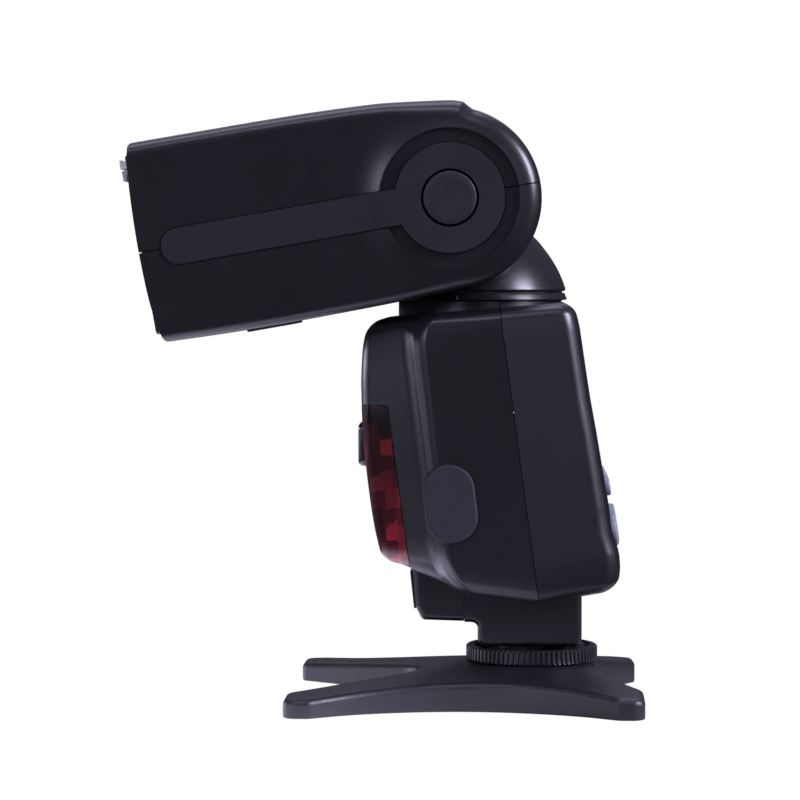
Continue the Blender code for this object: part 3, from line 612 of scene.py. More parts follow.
def head_outline():
    bottom = curve([(-70.6, -22.1), (-58.0, -22.5), (-45.0, -22.6), (-32.0, -22.5), (-19.0, -22.3),
                    (-8.0, -21.95), (-2.0, -21.72)], 4)
    top = curve([(4.9, 22.75), (1.7, 23.3), (-7.8, 24.55), (-14.2, 25.2), (-27.4, 25.8),
                 (-40.0, 26.05), (-55.0, 26.2), (-71.2, 26.3)], 4)
    pts = flat0(bottom)
    pts += arc(0, 0, HEAD_CHEEK_R, -86, 66, 56)
    pts += [(6.9, 22.1, 0.5)] + flat0(top)
    pts += [(-73.6, 26.3, 1.1)] + flat0(HEAD_FRONT)
    pts += [(-73.1, -22.0, 1.1)]
    return pts


def head_lift(extra=0.0):
    def height(x, z, side):
        r = math.hypot(x, z)
        t = (r - BOSS_R) / 8.5
        if t <= 0:
            return BOSS_H + extra
        if t >= 1:
            return extra
        return BOSS_H * (1 - t) ** 2.2 + extra
    return height


def head_block(extra=0.0, grow=0.0):
    out = head_outline()
    w, rim, n = HEAD_HALF_W, 3.2, 7
    loops = []
    for i in range(n):
        a = math.pi / 2 * i / n
        loops.append((rim * (1 - math.sin(a)), -w + rim * (1 - math.cos(a))))
    loops.append((0.0, -w + rim))
    for y in (-24.0, -12.0, 0.0, 12.0, 24.0):
        loops.append((0.0, y))
    loops += [(d, -y) for d, y in reversed(loops[:n + 1])]
    # the front face stays flat right out to the side walls
    rows = [([(x - d * max(0.0, min(1.0, (-68.5 - x) / 2.5)), z)
              for x, z in outline(out, d - grow, 5)], y) for d, y in loops]
    rings = [0.93, 0.84, 0.74, 0.64, 0.54, 0.45, 0.37, 0.30, 0.24, 0.185, 0.135, 0.095, 0.06,
             0.03, 0.008, 0.0]
    block = star_block("y", rows, (0.0, 0.0), rings, head_lift(extra), cap_r=BOSS_R)
    return block


SLOT_FROM, SLOT_TO = 72.0, -141.0


def trim_corners(grow=0.0):
    r, h, xe = TRIM_R + grow, TRIM_ARM_HALF + grow, TRIM_ARM_END
    a = math.degrees(math.asin(h / r))
    return arc(0, 0, r, -180 + a, 180 - a, 72) + arc(xe, 0, h, 90, 270, 24)


def head_pieces():
    w = HEAD_HALF_W
    block = head_block()
    wi = w - HEAD_WALL
    void = [slab("x", rect(-wi, wi, -20.3, 24.0, 1.5), -80.0, -25.0, seg=4)]
    for s in (-1, 1):
        y0, y1 = sorted((s * (CHEEK_INNER_Y + 2.0), s * wi))
        void.append(cyl("y", (0, 0, 0), HEAD_CHEEK_R - 2.2, y0, y1, 48))
        void.append(box(-30, 0, y0, y1, -18.5, 18.5))
    wedge = slab("y", [(0, 0, 0.0)] + arc(0, 0, 34.0, SLOT_TO, SLOT_FROM, 12),
                 -CHEEK_INNER_Y, CHEEK_INNER_Y)
    drum = cyl("y", (0, 0, 0), DRUM_R + 0.5, -CHEEK_INNER_Y, CHEEK_INNER_Y, ROUND)
    tools = void + [wedge, drum]
    for s in (-1, 1):
        y0, y1 = sorted((s * (w - 0.7), s * (w + 5)))
        tools.append(slab("y", trim_corners(0.22), y0, y1))
        y0, y1 = sorted((s * (w + BOSS_H - 0.95), s * (w + 5)))
        tools.append(tube("y", (0, 0, 0), TRIM_R - 0.3, BOSS_R - 0.25, y0, y1, ROUND))
        y0, y1 = sorted((s * 33.0, s * (w + 5)))
        tools.append(cyl("y", (0, 0, 0), BUTTON_HOLE_R, y0, y1, 64))
        y0, y1 = sorted((s * 20.0, s * 36.0))
        tools.append(cyl("y", (0, 0, 0), SHAFT_R + 0.3, y0, y1, 32))
    tools.append(slab("z", rect(-55.9, -42.7, -10.3, 10.3, 1.0), -24, -21.2, seg=3))
    shell = block
    for t in tools:
        shell = cut(shell, t)
    upper = keep(shell, box(-90, 40, -60, 60, 0.13, 60))
    lower = keep(shell, box(-90, 40, -60, 60, -60, -0.13))
    put("upper_head_casing", upper, HEAD, M_HEAD, "head", ["head_upper_shell"], bevel=0.16)
    put("lower_head_casing", lower, HEAD, M_HEAD, "head", ["head_lower_shell"], bevel=0.16)
    proud = head_block(extra=0.42)
    for s, tag in ((-1, "left"), (1, "right")):
        y0, y1 = sorted((s * (w - 0.45), s * (w + 4)))
        plate = keep(slab("y", trim_corners(), y0, y1), proud)
        y0, y1 = sorted((s * (w - 5), s * (w + 5)))
        plate = cut(plate, cyl("y", (0, 0, 0), BUTTON_HOLE_R, y0, y1, 64))
        put("inlay_" + tag, plate, HEAD, M_TRIM, "head", ["side_trim_" + tag],
            bevel=0.22, segs=3)
    face = w + BOSS_H + 0.42
    wide = BUTTON_HOLE_R - 0.5
    knob = [(0, face + 0.02), (2.0, face + 0.05), (4.2, face + 0.12), (5.0, face + 0.15),
            (wide - 0.42, face + 0.07), (wide - 0.12, face - 0.12), (wide, face - 0.45),
            (wide, 34.7), (0, 34.7)]
    put("release_button_cap", revolve([(r, -h) for r, h in knob], axis="y", seg=64), HEAD, M_CAP,
        "tilt_release", ["tilt_release_button"])
    knob[-2:] = [(wide, 33.4), (0, 33.4)]
    put("pivot_cap_fixed", revolve(knob, axis="y", seg=64), HEAD, M_CAP,
        "head", ["pivot_cap_right"])
    plate = slab("z", rect(-55.6, -43.0, -10.0, 10.0, 1.0), -23.15, -21.4, 0.35, 0, n=3, seg=4)
    put("contact_cover_plate", plate, HEAD, M_TRIM, "head", ["head_bottom_plate"])


head_pieces()


def head_front():
    bezel = slab("x", rect(-34.6, 34.6, -19.9, 23.6, 1.6), -75.0, -69.0, 0.5, 0, n=4, seg=6)
    bezel = cut(bezel,
                slab("x", rect(-31.0, 31.0, -16.6, 17.6, 2.0), -80, -60, seg=6),
                slab("x", rect(-33.3, 33.3, -18.6, 19.2, 2.0), -73.4, -60, seg=6),
                slab("x", rect(-29.0, 29.0, 20.25, 23.1, 0.3), -80, -60))
    put("lens_frame", bezel, HEAD, M_HEAD, "head", ["lens_bezel"], bevel=0.18)
    # prism lens: ribs run across the head at an even pitch
    flange = slab("x", rect(-32.9, 32.9, -18.2, 18.8, 1.8), -73.1, -71.2, seg=6)
    ribs = [(-71.5, -16.1, 0.0), (-71.5, 17.1, 0.0)]
    z, k = 17.1, 0
    while z > -16.0:
        ribs.append((-74.5, z - 0.05, 0.0))
        z -= 0.83
        ribs.append((-73.9, max(z, -16.1) + 0.02, 0.0))
    prism = slab("y", ribs[::-1], -30.6, 30.6)
    put("prism_lens", join(flange, prism), HEAD, M_CLEAR, "head", ["fresnel_lens"],
        smooth=20.0, weighted=False)
    wide = join(slab("z", rect(-74.0, -34.0, -28.4, 28.4, 1.5), 20.6, 21.7, 0.2, 0.2, n=2, seg=5),
                slab("y", [(-79.7, 19.0, 0.2), (-78.9, 19.0, 0.2), (-78.8, 20.7, 0.0),
                           (-73.0, 20.7, 0.0), (-73.0, 21.6, 0.0), (-79.7, 21.6, 0.2)],
                     -6.0, 6.0, seg=4))
    put("wide_diffuser", wide, HEAD, M_FROST, "wide_panel", ["wide_panel"])
    card = join(slab("z", rect(-74.2, -38.0, -28.0, 28.0, 1.5), 22.1, 22.8, 0.15, 0.15, n=2, seg=5),
                slab("y", [(-79.9, 22.12, 0.0), (-73.8, 22.12, 0.0), (-73.8, 22.78, 0.0),
                           (-78.9, 22.78, 0.2), (-79.1, 24.3, 0.0), (-79.9, 24.3, 0.0)],
                     -6.0, 6.0, seg=4))
    put("catchlight_card", card, HEAD, M_CARD, "bounce_card", ["bounce_card"],
        bevel=0.1)


head_front()

# ------------------------------------------------------------------ neck
dome_pts = curve([(NECK_BASE_R, NECK_BASE_Z + 0.45), (21.15, 102.8), (20.5, 104.6), (19.6, 106.6),
                  (18.5, 108.6), (17.2, 110.6), (15.7, 112.6), (14.0, 114.6), (12.0, 116.2),
                  (8.0, 117.6)], 4)
dome = revolve([(0, NECK_BASE_Z), (NECK_BASE_R - 0.35, NECK_BASE_Z)] + dome_pts + [(0, 118.0)],
               axis="z", seg=ROUND)
dr = [(0, -DRUM_HALF_W), (DRUM_R - 0.8, -DRUM_HALF_W), (DRUM_R - 0.25, -DRUM_HALF_W + 0.2),
      (DRUM_R, -DRUM_HALF_W + 0.8), (DRUM_R, DRUM_HALF_W - 0.8),
      (DRUM_R - 0.25, DRUM_HALF_W - 0.2), (DRUM_R - 0.8, DRUM_HALF_W), (0, DRUM_HALF_W)]
drum = revolve(dr, (PIVOT_X - SWIVEL_X, 0, PIVOT_Z), "y", ROUND)
neck = join(dome, drum)
neck = cut(neck, cyl("y", (PIVOT_X - SWIVEL_X, 0, PIVOT_Z), SHAFT_R, -30, 30, 32),
           cyl("z", (0, 0, 0), 11.0, 98, 108, 48))
neck = join(neck, tube("z", (0, 0, 0), 10.0, 13.0, 92.3, 103.0, 48),
            tube("z", (0, 0, 0), 18.0, 20.45, 100.9, 102.2, ROUND))
put("neck_casing", neck, NECK, M_HEAD, "neck", ["neck_shell"], bevel=0.12)


# ------------------------------------------------------------------ body
NOSE = dense([(33.2, -1.8), (34.5, -2.9), (36.5, -4.2), (38.5, -4.6), (40.5, -4.9),
              (44.5, -5.6), (48.5, -6.3), (54.5, -7.1), (62.0, -8.0), (70.5, -8.6), (80.5, -8.8),
              (88.2, -8.4), (92.0, -7.8), (95.0, -7.2)], 1.0, 2.0)
VALLEY = dense([(26.0, 18.5), (28.5, 15.2), (30.5, 12.4), (33.0, 10.4), (36.5, 9.3), (42.3, 8.1), (56.7, 6.9), (93.0, 2.1), (99.0, 1.3)],
               0.5, 1.2)
BEVEL = dense([(26.0, 23.5), (28.5, 20.0), (30.5, 17.2), (33.0, 14.9), (36.5, 13.1), (42.0, 12.0),
               (60.0, 9.7), (88.0, 6.5), (91.5, 6.7), (94.0, 7.8), (97.0, 10.0)], 0.5, 1.2)
SEAM = [(27.3, 34.6), (97.1, 25.2), (100.0, 24.8)]
REAR = dense([(28.0, 53.0), (30.0, 53.6), (32.8, 54.3), (35.6, 54.3), (39.9, 53.7), (42.3, 52.4),
              (50.7, 51.3), (60.5, 49.6), (68.2, 48.3), (75.8, 46.9), (81.5, 46.0), (93.0, 44.3),
              (96.8, 43.6), (100.0, 42.9)], 0.5, 0.9)
BOTTOM = dense([(-10.0, 35.3), (2.8, 35.2), (6.2, 35.0), (8.6, 33.8), (10.9, 31.9), (13.2, 30.3),
                (17.2, 29.0), (23.7, 27.9), (34.7, 27.0), (44.8, 28.6), (56.0, 30.3)], 0.5, 1.0)
TOP = dense([(-10.0, 93.6), (-1.0, 95.6), (41.5, 99.2), (45.0, 99.5)], 0.5, 2.5)


def body_level(t, dz, inset, seg=9):
    def z_at(x):
        lo, hi = interp(BOTTOM, x), interp(TOP, x)
        return lo + t * (hi - lo) + dz

    def x_at(table, guess):
        x = guess
        for _ in range(5):
            x = interp(table, z_at(x))
        return x

    xf, xv = x_at(NOSE, -8), x_at(VALLEY, 5)
    xb, xs, xr = x_at(BEVEL, 9), x_at(SEAM, 30), x_at(REAR, 48)
    xm = xv + 0.42 * (xb - xv)
    half = [(xf, 21.5, 5.0), (xv, 28.8, 6.0), (xm, 32.1, 5.0), (xb, 34.5, 3.0),
            (xs, BODY_HALF_W, 0.0), (xr, 33.6, 5.0)]
    cs = [(x, -y, r) for x, y, r in half]
    cs += [(x, y, r) for x, y, r in reversed(half)]
    return [(x, y, z_at(x)) for x, y in outline(cs, inset, seg)]


def body_loft(inset, rim, n=7, levels=40):
    foot_h, crown_h = 10.0, 7.0
    rows = []

    def edge(h, reach, tuck):
        d = rim * (1 - math.sqrt(max(0.0, 1 - (1 - h / rim) ** 2))) if h < rim else 0.0
        return d + tuck * (1 - h / reach) ** 2

    marks = [rim * (1 - math.cos(math.pi / 2 * i / n)) for i in range(n + 1)]
    low = marks + [rim + (foot_h - rim) * k / 5 for k in range(1, 6)]
    high = marks + [rim + (crown_h - rim) * k / 3 for k in range(1, 4)]
    for h in low:
        rows.append((0.0, inset + h, inset + edge(h, foot_h, 0.8 if n > 1 else 0.0)))
    for i in range(levels + 1):
        rows.append((0.21 + 0.64 * i / levels, 0.0, inset))
    for h in reversed(high):
        rows.append((1.0, -inset - h, inset + edge(h, crown_h, 0.5 if n > 1 else 0.0)))
    return loft([body_level(*row) for row in rows])


def seam_side(front):
    (xt, zt), (xb, zb) = SEAM_TOP, SEAM_BOTTOM
    dx = (xt - xb) / (zt - zb)
    g = 0.09
    a = (xb - dx * 40, zb - 40)
    b = (xt + dx * 40, zt + 40)
    if front:
        pts = [(a[0] - g, a[1], 0), (b[0] - g, b[1], 0), (-60, b[1], 0), (-60, a[1], 0)]
    else:
        pts = [(a[0] + g, a[1], 0), (100, a[1], 0), (100, b[1], 0), (b[0] + g, b[1], 0)]
    return slab("y", pts, -60, 60)


WIN = [(-40, 20, 0), (3.9, 20, 0), (3.15, 35.9, 0), (-2.1, 74.2, 0.7), (-40, 73.6, 0)]
DOOR = (15.8, 43.2, 69.7, 31.8)


def port_shape(grow, y0, y1):
    h, v = 6.3 + grow, 9.45 + grow
    me = slab("y", rect(-h, h, -v, v, h - 0.02), y0, y1, seg=16)
    me = moved(me, Matrix.Rotation(-math.radians(PORT_LEAN), 4, "Y"))
    return shift(me, PORT_X, 0, PORT_Z)


def panel_part(me):
    me = moved(me, Matrix.Rotation(-math.radians(PANEL_LEAN), 4, "Y"))
    return shift(me, PANEL_X, 0, PANEL_Z)


def body_pieces():
    outer = body_loft(0.0, 3.2)
    collar = revolve([(0, 92), (20.3, 92), (20.3, 99.3), (20.6, 99.45), (21.55, 99.6),
                      (21.62, 99.8), (21.4, 100.4), (21.2, 100.9), (21.05, 101.2),
                      (20.9, COLLAR_TOP_Z), (0, COLLAR_TOP_Z)],
                     (SWIVEL_X, 0, 0), seg=ROUND)
    block = join(outer, collar)
    block = cut(block, cyl("z", (SWIVEL_X, 0, 0), 20.6, 100.7, 103, ROUND))
    inner = body_loft(BODY_WALL, 1.0, n=1, levels=12)
    shell = cut(block, inner)
    shell = cut(shell, cyl("z", (SWIVEL_X, 0, 0), 13.6, 80, 110, 48))
    shell = cut(shell, port_shape(0.1, -40, -26))
    shell = cut(shell, box(11.6, 15.1, 25.2, 29.5, 34.7, 68.3))
    shell = cut(shell, panel_part(slab("x", rect(-29.3, 29.3, -27.5, 25.4, 2.0), -4, 8, seg=6)))
    x0, x1, top, yin = DOOR
    door = keep(shell, box(x0, x1, yin, 45, 10, top))
    shell = cut(shell, box(x0 - 0.3, x1 + 0.55, yin - 0.3, 45, 10, top + 0.3))
    window = keep(shell, slab("y", offset_corners(WIN, 0.1), -50, 50, seg=6))
    front = keep(cut(shell, slab("y", offset_corners(WIN, -0.1), -50, 50, seg=6)),
                 seam_side(True))
    rear = keep(shell, seam_side(False))
    put("front_body_casing", front, BENCH, M_HEAD, "flash_body", ["front_shell"], bevel=0.14)
    put("rear_body_casing", rear, BENCH, M_HEAD, "flash_body", ["rear_shell"], bevel=0.14)
    hole = slab("x", rect(-6.3, 6.3, 57.9, 69.5, 2.0), -20, 0, seg=6)
    put("red_af_window", cut(window, hole), BENCH, M_RED, "flash_body", ["af_assist_window"],
        bevel=0.12)
    grips = [slab("y", rect(24, 36, z, z + 1.1, 0.5), 35.0, 36.95, 0, 0.3, n=2, seg=4)
             for z in (39.5, 42.0, 44.5)]
    door = join(door, *grips)
    put("battery_door_cover", door, BENCH, M_HEAD, "battery_door", ["battery_door"], bevel=0.14)
    lens = slab("x", rect(-6.0, 6.0, 58.2, 69.2, 1.8), -10.2, -5.0, 1.3, 0, n=7, seg=6)
    put("sensor_dome", lens, BENCH, M_GLOSS, "flash_body", ["wireless_sensor_lens"])


body_pieces()

cover = slab("y", rect(-6.28, 6.28, -9.43, 9.43, 6.26), -0.85, 1.5, 0.7, 0, n=6, seg=18)
put("rubber_port_cover", cover, PORT, M_RUBBER, "port_cover", ["port_cover"])

# rear panel
bez = slab("x", rect(-29.0, 29.0, -27.2, 25.1, 1.8), -2.6, -0.5, 0, 0.45, n=4, seg=8)
BTN = {}
for i, tag in enumerate(("backlight", "mode", "zoom", "sound")):
    BTN["button_" + tag] = (-19.5 + 13.0 * i, -10.0, 4.3, 2.3)
BTN["button_pilot"] = (-19.5, -21.0, 3.8, 3.8)
BTN["button_power"] = (19.5, -21.0, 3.8, 3.8)
for y, z, hy, hz in BTN.values():
    bez = cut(bez, slab("x", rect(y - hy - 0.3, y + hy + 0.3, z - hz - 0.3, z + hz + 0.3,
                                  min(hy, hz) + 0.28), -5, 3, seg=12))
bez = cut(bez, cyl("x", (0, 0, -21.0), 5.3, -5, 3, 64))
bez = cut(bez, slab("x", rect(-22.0, 22.0, -4.2, 20.6, 1.5), -5, 3, seg=8))
put("rear_panel_frame", bez, PANEL, M_CAP, "flash_body", ["control_panel_bezel"], bevel=0.15)
put("display_window", slab("x", rect(-21.7, 21.7, -3.9, 20.3, 1.3), -2.2, -0.9, 0, 0.2, n=3, seg=8),
    PANEL, M_CLEAR, "flash_body", ["lcd_window"])
mask = cut(slab("x", rect(-21.6, 21.6, -3.8, 20.2, 1.2), -2.75, -2.35, seg=6),
           slab("x", rect(-19.6, 19.6, -1.9, 18.4, 0.8), -4, 0, seg=6))
put("display_mask", mask, PANEL, M_DARK, "flash_body")
for name, (y, z, hy, hz) in BTN.items():
    b = slab("x", rect(y - hy, y + hy, z - hz, z + hz, min(hy, hz) - 0.02), -2.9, 1.4,
             0, 0.6, n=5, seg=14)
    put(name + "_cap", b, PANEL, M_BTN, name, [name])
ringb = [(2.9, -2.9), (5.0, -2.9), (5.0, 1.4), (4.9, 1.7), (4.6, 1.92), (4.2, 2.0), (3.5, 2.0),
         (3.1, 1.9), (2.9, 1.65)]
put("four_way_ring", revolve(ringb, (0, 0, -21.0), "x", 64, ring=True), PANEL, M_BTN,
    "navigation_ring", ["navigation_ring"])
okb = [(0, -2.9), (2.5, -2.9), (2.5, 1.35), (2.35, 1.6), (2.0, 1.7), (0, 1.72)]
put("button_ok_cap", revolve(okb, (0, 0, -21.0), "x", 48), PANEL, M_BTN, "button_ok",
    ["button_ok"])

# index tick on the collar
tick = box(14.45, 14.8, -21.1, -20.4, 99.75, 100.7)
put("swivel_index", tick, BENCH, M_MARK, "flash_body", weighted=False)

# ------------------------------------------------------------------ foot
fb = slab("y", [(8.0, 20.2, 0.0), (19.6, 19.9, 1.5), (19.6, 14.0, 2.0), (45.3, 14.0, 1.8),
                (45.3, 29.5, 0), (34.7, 27.4, 0), (23.7, 28.2, 0), (8.0, 29.8, 0)],
          -11.5, 11.5, 1.3, 1.3, n=6, seg=8)
fb = keep(fb, box(16.33, 60, -20, 20, 5, 40))
fb = join(fb, cyl("z", (FOOT_X, 0, 0), 9.0, RING_Z1 - 2.6, 16.5, 64))
fb = cut(fb, cyl("z", (FOOT_X, 0, 0), 5.8, 5, 19.5, 48),
         cyl("z", (FOOT_X + 7.4, 0, 0), 1.2, 5, 21.0, 24))
put("foot_casing", fb, BENCH, M_HEAD, "flash_body", ["foot_block"])
fc = slab("y", [(4.35, 23.6, 2.0), (5.9, 20.5, 1.4), (24.0, 20.0, 0.0), (24.0, 33.0, 0),
                (3.3, 37.0, 0)], -11.4, 11.4, 1.3, 1.3, n=6, seg=6)
fc = keep(fc, box(-10, 16.22, -20, 20, 5, 60))
put("foot_front_casing", fc, BENCH, M_HEAD, "flash_body", ["foot_front_cover"])
meter = slab("y", [(3.75, 22.9, 0.1), (4.9, 23.2, 0), (3.9, 32.4, 0), (2.75, 32.2, 0.1)],
             -7.0, 7.0, 0.15, 0.15, n=2)
put("meter_strip", meter, BENCH, M_GLOSS, "flash_body", ["metering_sensor_window"])

TEETH, CUT_DEEP = 78, 0.5


def knurled(profile, teeth, deep):
    """Ring turned from (radius, z) points; points flagged 1 follow the tooth pattern."""
    bm = bmesh.new()
    rows = []
    for k in range(teeth):
        for frac, sink in ((0.0, 1.0), (0.30, 1.0), (0.46, 0.0), (0.84, 0.0)):
            a = 2 * math.pi * (k + frac) / teeth
            rows.append([bm.verts.new((math.cos(a) * (r - sink * deep * flag),
                                       math.sin(a) * (r - sink * deep * flag), z))
                         for r, z, flag in profile])
    n = len(profile)
    for i in range(len(rows)):
        a, b = rows[i], rows[(i + 1) % len(rows)]
        for j in range(n):
            k = (j + 1) % n
            bm.faces.new((a[j], b[j], b[k], a[k]))
    return finish(bm)


ring = knurled([(9.3, RING_Z0, 0), (15.0, RING_Z0, 0), (RING_R - 0.35, RING_Z0 + 0.1, 0),
                (RING_R, RING_Z0 + 0.45, 1), (RING_R, RING_Z1 - 0.45, 1),
                (RING_R - 0.35, RING_Z1 - 0.1, 0), (15.5, RING_Z1, 0), (14.6, RING_Z1, 0),
                (14.2, RING_Z1 - 0.3, 0), (14.1, RING_Z1 - 1.9, 0), (9.3, RING_Z1 - 1.9, 0)],
               TEETH, CUT_DEEP)
put("knurled_lock_ring", shift(ring, FOOT_X), BENCH, M_RING, "lock_ring", ["lock_ring"],
    smooth=25.0, weighted=False)


# ------------------------------------------------------------------ stand
def stand_corners():
    side = curve([(-20.2, -41.0), (-12.2, -35.4), (-4.0, -31.6), (6.0, -28.8), (16.6, -27.7),
                  (27.2, -28.8), (37.0, -31.6), (45.4, -35.4), (53.4, -41.0)], 3)
    half = [(12.0, 0, 11.0), (-26.6, -28.6, 3.0), (-26.6, -41.0, 3.2), (side[0][0], -41.0, 3.0)]
    half += [(x, y, 0.0) for x, y in side[1:-1]]
    half += [(side[-1][0], -41.0, 3.0), (59.9, -41.0, 3.2), (59.9, -28.6, 3.0), (43.0, 0, 22.0)]
    other = [(x, -y, r) for x, y, r in reversed(half[1:-1])]
    return half + other


def stand():
    base_pts = outline(stand_corners(), 0.0, 10)
    counts = []
    for i, p in enumerate(base_pts):
        q = base_pts[(i + 1) % len(base_pts)]
        counts.append(max(1, int(math.dist(p, q) / 2.0)))

    def loop(d):
        pts = outline(stand_corners(), d, 10)
        out = []
        for i, p in enumerate(pts):
            q = pts[(i + 1) % len(pts)]
            out += [(p[0] + (q[0] - p[0]) * k / counts[i], p[1] + (q[1] - p[1]) * k / counts[i])
                    for k in range(counts[i])]
        return out

    rim, n = 1.4, 7
    rows = [(loop(0.5), 0.0), (loop(0.12), 0.12), (loop(0.0), 0.5), (loop(0.0), 2.2)]
    rows.append((loop(0.0), STAND_WALL_H - 1.6))
    for i in range(n - 1, -1, -1):
        a = math.pi / 2 * i / n
        rows.append((loop(rim * (1 - math.sin(a))), STAND_WALL_H - 1.6 * (1 - math.cos(a))))
    left = dense([(0, 9.6), (17, 9.6), (20, 8.9), (24, 8.0), (29, 7.35), (36, 6.9), (44, 6.3),
                  (56, 5.4), (67, 4.7), (90, 4.3)], 1.0, 2.0)
    right = dense([(0, 9.6), (17, 9.6), (20, 8.5), (24, 7.6), (30, 6.7), (41, 5.7), (48, 5.0),
                   (90, 4.3)], 1.0, 2.0)

    def height(x, y, side):
        if side < 0:
            return 0.0
        r = math.hypot(x - FOOT_X, y)
        w = 0.5 - 0.5 * max(-1.0, min(1.0, (x - FOOT_X) / max(r, 1.0) * 1.6))
        return w * interp(left, r) + (1 - w) * interp(right, r) - STAND_WALL_H

    rings = [1 - k / 26 for k in range(1, 26)] + [0.0]
    base = star_block("z", rows, (22.0, 0.0), rings, height, cap_r=1.0)
    base = cut(base, box(FOOT_X - 9.3, 70, -9.6, 9.6, 5.6, 8.2))
    base = cut(base, box(FOOT_X - 9.3, 70, -6.4, 6.4, 7.9, 12))
    base = cut(base, cyl("z", (14.0, 0, 0), INSERT_R + 0.3, -1, 5.3, 48))
    put("stand_cross", base, BENCH, M_STAND, "stand", ["stand_base"], bevel=0.18)


stand()

# ------------------------------------------------------------------ kept CAD pieces
LOOK = {"brass": M_BRASS, "steel": M_STEEL, "copper_contact": M_COPPER, "matte_trim": M_TRIM,
        "black_plastic": M_CAP, "glass_tube": M_GLASS, "circuit_board": M_BOARD,
        "lcd_glass": M_LCD, "reflector_metal": M_SHEET, "capacitor_sleeve": M_CAPAC,
        "cell_sleeve": M_CELL, "red_window": M_REDLENS, "dark_window": M_GLOSS,
        "clear_plastic": M_CLEAR, "white_card": M_CARD, "button_grey": M_BTN,
        "rubber_cover": M_RUBBER, "stand_plastic": M_STAND}
SLOT_OF = {s["node"]: s["material_slot"] for s in frame["record"]["subparts"]}
for node, ob in frame["nodes"].items():
    look = LOOK[SLOT_OF[node]]
    if not ob.material_slots:
        ob.data.materials.append(look)
    for sl in ob.material_slots:
        sl.material = look

# ------------------------------------------------------------------ stage, light, camera
TINT = (1.0, 0.965, 1.28)
scene = bpy.context.scene
scene.view_settings.view_transform = "Standard"
scene.view_settings.look = "None"

bm = bmesh.new()
bmesh.ops.create_grid(bm, x_segments=2, y_segments=2, size=6.0)
floor_me = bpy.data.meshes.new("floor")
bm.to_mesh(floor_me)
bm.free()
floor = bpy.data.objects.new("floor", floor_me)
floor.location = (0, 0, -0.0002)
# painted pool of light: for non-camera rays the floor is paler and glows near the stand, most on
# its left side, fading out with distance; camera rays see it plain white
fm, fnt, fp = nodes_of("floor_white")
ftc = fnt.nodes.new("ShaderNodeTexCoord")
dist = fnt.nodes.new("ShaderNodeVectorMath")
dist.operation = "LENGTH"
fnt.links.new(ftc.outputs["Object"], dist.inputs[0])
pool_fade = fnt.nodes.new("ShaderNodeMapRange")
pool_fade.inputs["From Min"].default_value = 0.065
pool_fade.inputs["From Max"].default_value = 0.115
pool_fade.inputs["To Min"].default_value = 0.85
pool_fade.inputs["To Max"].default_value = 0.04
pool_fade.interpolation_type = "SMOOTHSTEP"
fnt.links.new(dist.outputs["Value"], pool_fade.inputs["Value"])
pool_albedo = fnt.nodes.new("ShaderNodeMath")
pool_albedo.operation = "MULTIPLY"
pool_albedo.inputs[1].default_value = 0.72
fnt.links.new(pool_fade.outputs["Result"], pool_albedo.inputs[0])
fsep = fnt.nodes.new("ShaderNodeSeparateXYZ")
fnt.links.new(ftc.outputs["Object"], fsep.inputs[0])
left = fnt.nodes.new("ShaderNodeMapRange")
left.inputs["From Min"].default_value = -0.03
left.inputs["From Max"].default_value = 0.05
left.inputs["To Min"].default_value = 1.9
left.inputs["To Max"].default_value = 0.0
fnt.links.new(fsep.outputs["X"], left.inputs["Value"])
pool_glow = fnt.nodes.new("ShaderNodeMath")
pool_glow.operation = "MULTIPLY"
fnt.links.new(pool_fade.outputs["Result"], pool_glow.inputs[0])
fnt.links.new(left.outputs["Result"], pool_glow.inputs[1])
fnt.links.new(pool_glow.outputs[0], fp.inputs["Emission Strength"])
fp.inputs["Emission Color"].default_value = (*TINT, 1)
fnt.links.new(pool_albedo.outputs[0], fp.inputs["Base Color"])
fp.inputs["Roughness"].default_value = 0.8
pale = fnt.nodes.new("ShaderNodeEmission")
pale.inputs["Color"].default_value = (1, 1, 1, 1)
pale.inputs["Strength"].default_value = 1.0
seen = fnt.nodes.new("ShaderNodeLightPath")
blend = fnt.nodes.new("ShaderNodeMixShader")
fnt.links.new(seen.outputs["Is Camera Ray"], blend.inputs["Fac"])
fnt.links.new(fp.outputs[0], blend.inputs[1])
fnt.links.new(pale.outputs[0], blend.inputs[2])
fnt.links.new(blend.outputs[0], fnt.nodes["Material Output"].inputs["Surface"])
floor_me.materials.append(fm)
scene.collection.objects.link(floor)

world = bpy.data.worlds.new("studio")
scene.world = world
world.use_nodes = True
wn = world.node_tree
bg = wn.nodes["Background"]
out = wn.nodes["World Output"]
tcw = wn.nodes.new("ShaderNodeTexCoord")
sep = wn.nodes.new("ShaderNodeSeparateXYZ")
wn.links.new(tcw.outputs["Generated"], sep.inputs[0])
high = wn.nodes.new("ShaderNodeMapRange")
high.inputs["From Min"].default_value = 0.05
high.inputs["From Max"].default_value = 0.85
high.inputs["To Min"].default_value = 0.0
high.inputs["To Max"].default_value = 0.26
wn.links.new(sep.outputs["Z"], high.inputs["Value"])
behind = wn.nodes.new("ShaderNodeMapRange")
behind.inputs["From Min"].default_value = -0.2
behind.inputs["From Max"].default_value = 0.9
behind.inputs["To Min"].default_value = 0.018
behind.inputs["To Max"].default_value = 0.035
wn.links.new(sep.outputs["Y"], behind.inputs["Value"])
both = wn.nodes.new("ShaderNodeMath")
both.operation = "ADD"
wn.links.new(high.outputs["Result"], both.inputs[0])
wn.links.new(behind.outputs["Result"], both.inputs[1])
wn.links.new(both.outputs[0], bg.inputs["Strength"])
bg.inputs["Color"].default_value = (*TINT, 1)
white = wn.nodes.new("ShaderNodeBackground")
white.inputs["Color"].default_value = (1, 1, 1, 1)
white.inputs["Strength"].default_value = 1.05
lp = wn.nodes.new("ShaderNodeLightPath")
mixw = wn.nodes.new("ShaderNodeMixShader")
wn.links.new(lp.outputs["Is Camera Ray"], mixw.inputs["Fac"])
wn.links.new(bg.outputs[0], mixw.inputs[1])
wn.links.new(white.outputs[0], mixw.inputs[2])
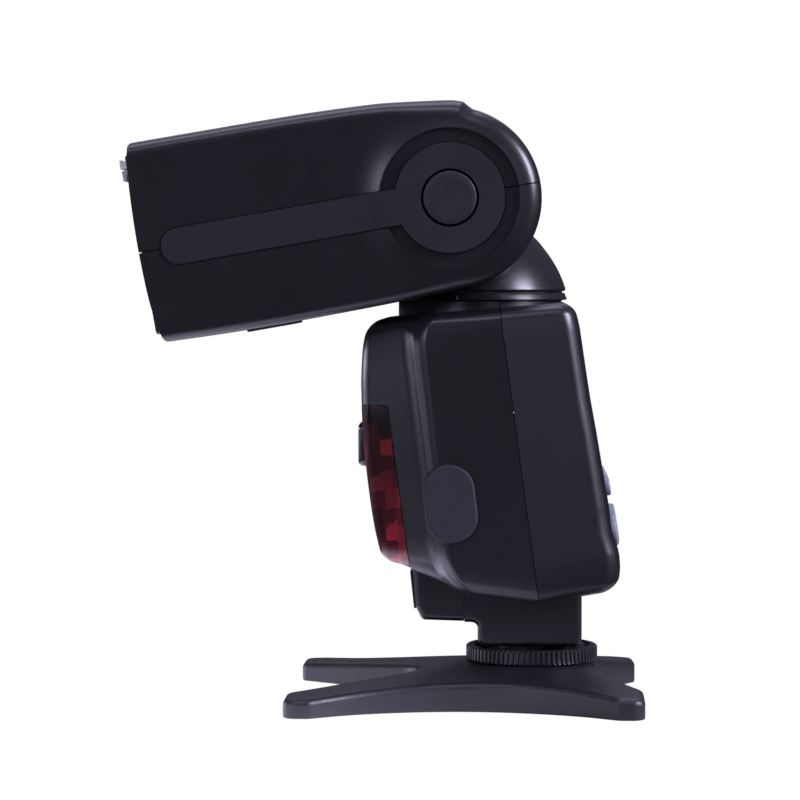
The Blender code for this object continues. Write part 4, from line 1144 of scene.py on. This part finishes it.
wn.links.new(mixw.outputs[0], out.inputs["Surface"])


def softbox(name, loc, target, size_x, size_y, power, colour=TINT):
    d = bpy.data.lights.new(name, "AREA")
    d.shape, d.size, d.size_y = "RECTANGLE", size_x, size_y
    d.energy, d.color = power, colour
    o = bpy.data.objects.new(name, d)
    o.location = loc
    o.rotation_euler = (Vector(target) - Vector(loc)).to_track_quat("-Z", "Y").to_euler()
    scene.collection.objects.link(o)
    return o


softbox("top_softbox", (-0.05, 0.12, 1.15), (0, 0, 0.08), 0.9, 0.5, 4.3)
softbox("left_strip", (-0.95, 0.02, 0.20), (0, 0, 0.09), 0.16, 0.5, 0.55)
softbox("nose_fill", (-1.05, -0.62, 0.16), (0, 0, 0.07), 0.16, 0.5, 0.9)
softbox("left_low_back", (-1.05, 0.42, 0.12), (0, 0, 0.02), 0.5, 0.16, 2.4)
softbox("right_edge", (0.95, 0.05, 0.16), (0, 0, 0.09), 0.14, 0.4, 0.2)
softbox("right_key", (0.90, -0.40, 0.50), (0, 0, 0.10), 0.36, 0.40, 13)
softbox("left_front_fill", (-0.75, -1.10, 0.34), (0, 0, 0.10), 0.32, 0.40, 2.5)
softbox("right_front_fill", (0.42, -1.35, 0.26), (0, 0, 0.08), 0.45, 0.6, 0.55)
softbox("high_front_fill", (-0.05, -0.70, 1.05), (0, 0, 0.08), 0.6, 0.25, 2.0)
softbox("back_wash", (0.0, 1.2, 1.1), (0, 0, 0.08), 1.2, 0.6, 2)

cam_d = bpy.data.cameras.new("photo_camera")
cam_d.sensor_width = 36.0
cam_d.lens = 3040.0 / 800.0 * 36.0
cam_d.clip_start, cam_d.clip_end = 0.05, 20.0
cam = bpy.data.objects.new("photo_camera", cam_d)
eye = Vector(((29.2 + SHIFT_X) * MM, -759.4 * MM, 105.0 * MM))
aim = Vector((SHIFT_X * MM, 0.0, (105.0 - 760.0 * 122.1 / 3040.0) * MM))
cam.location = eye
cam.rotation_euler = (aim - eye).to_track_quat("-Z", "Y").to_euler()
scene.collection.objects.link(cam)
scene.camera = cam
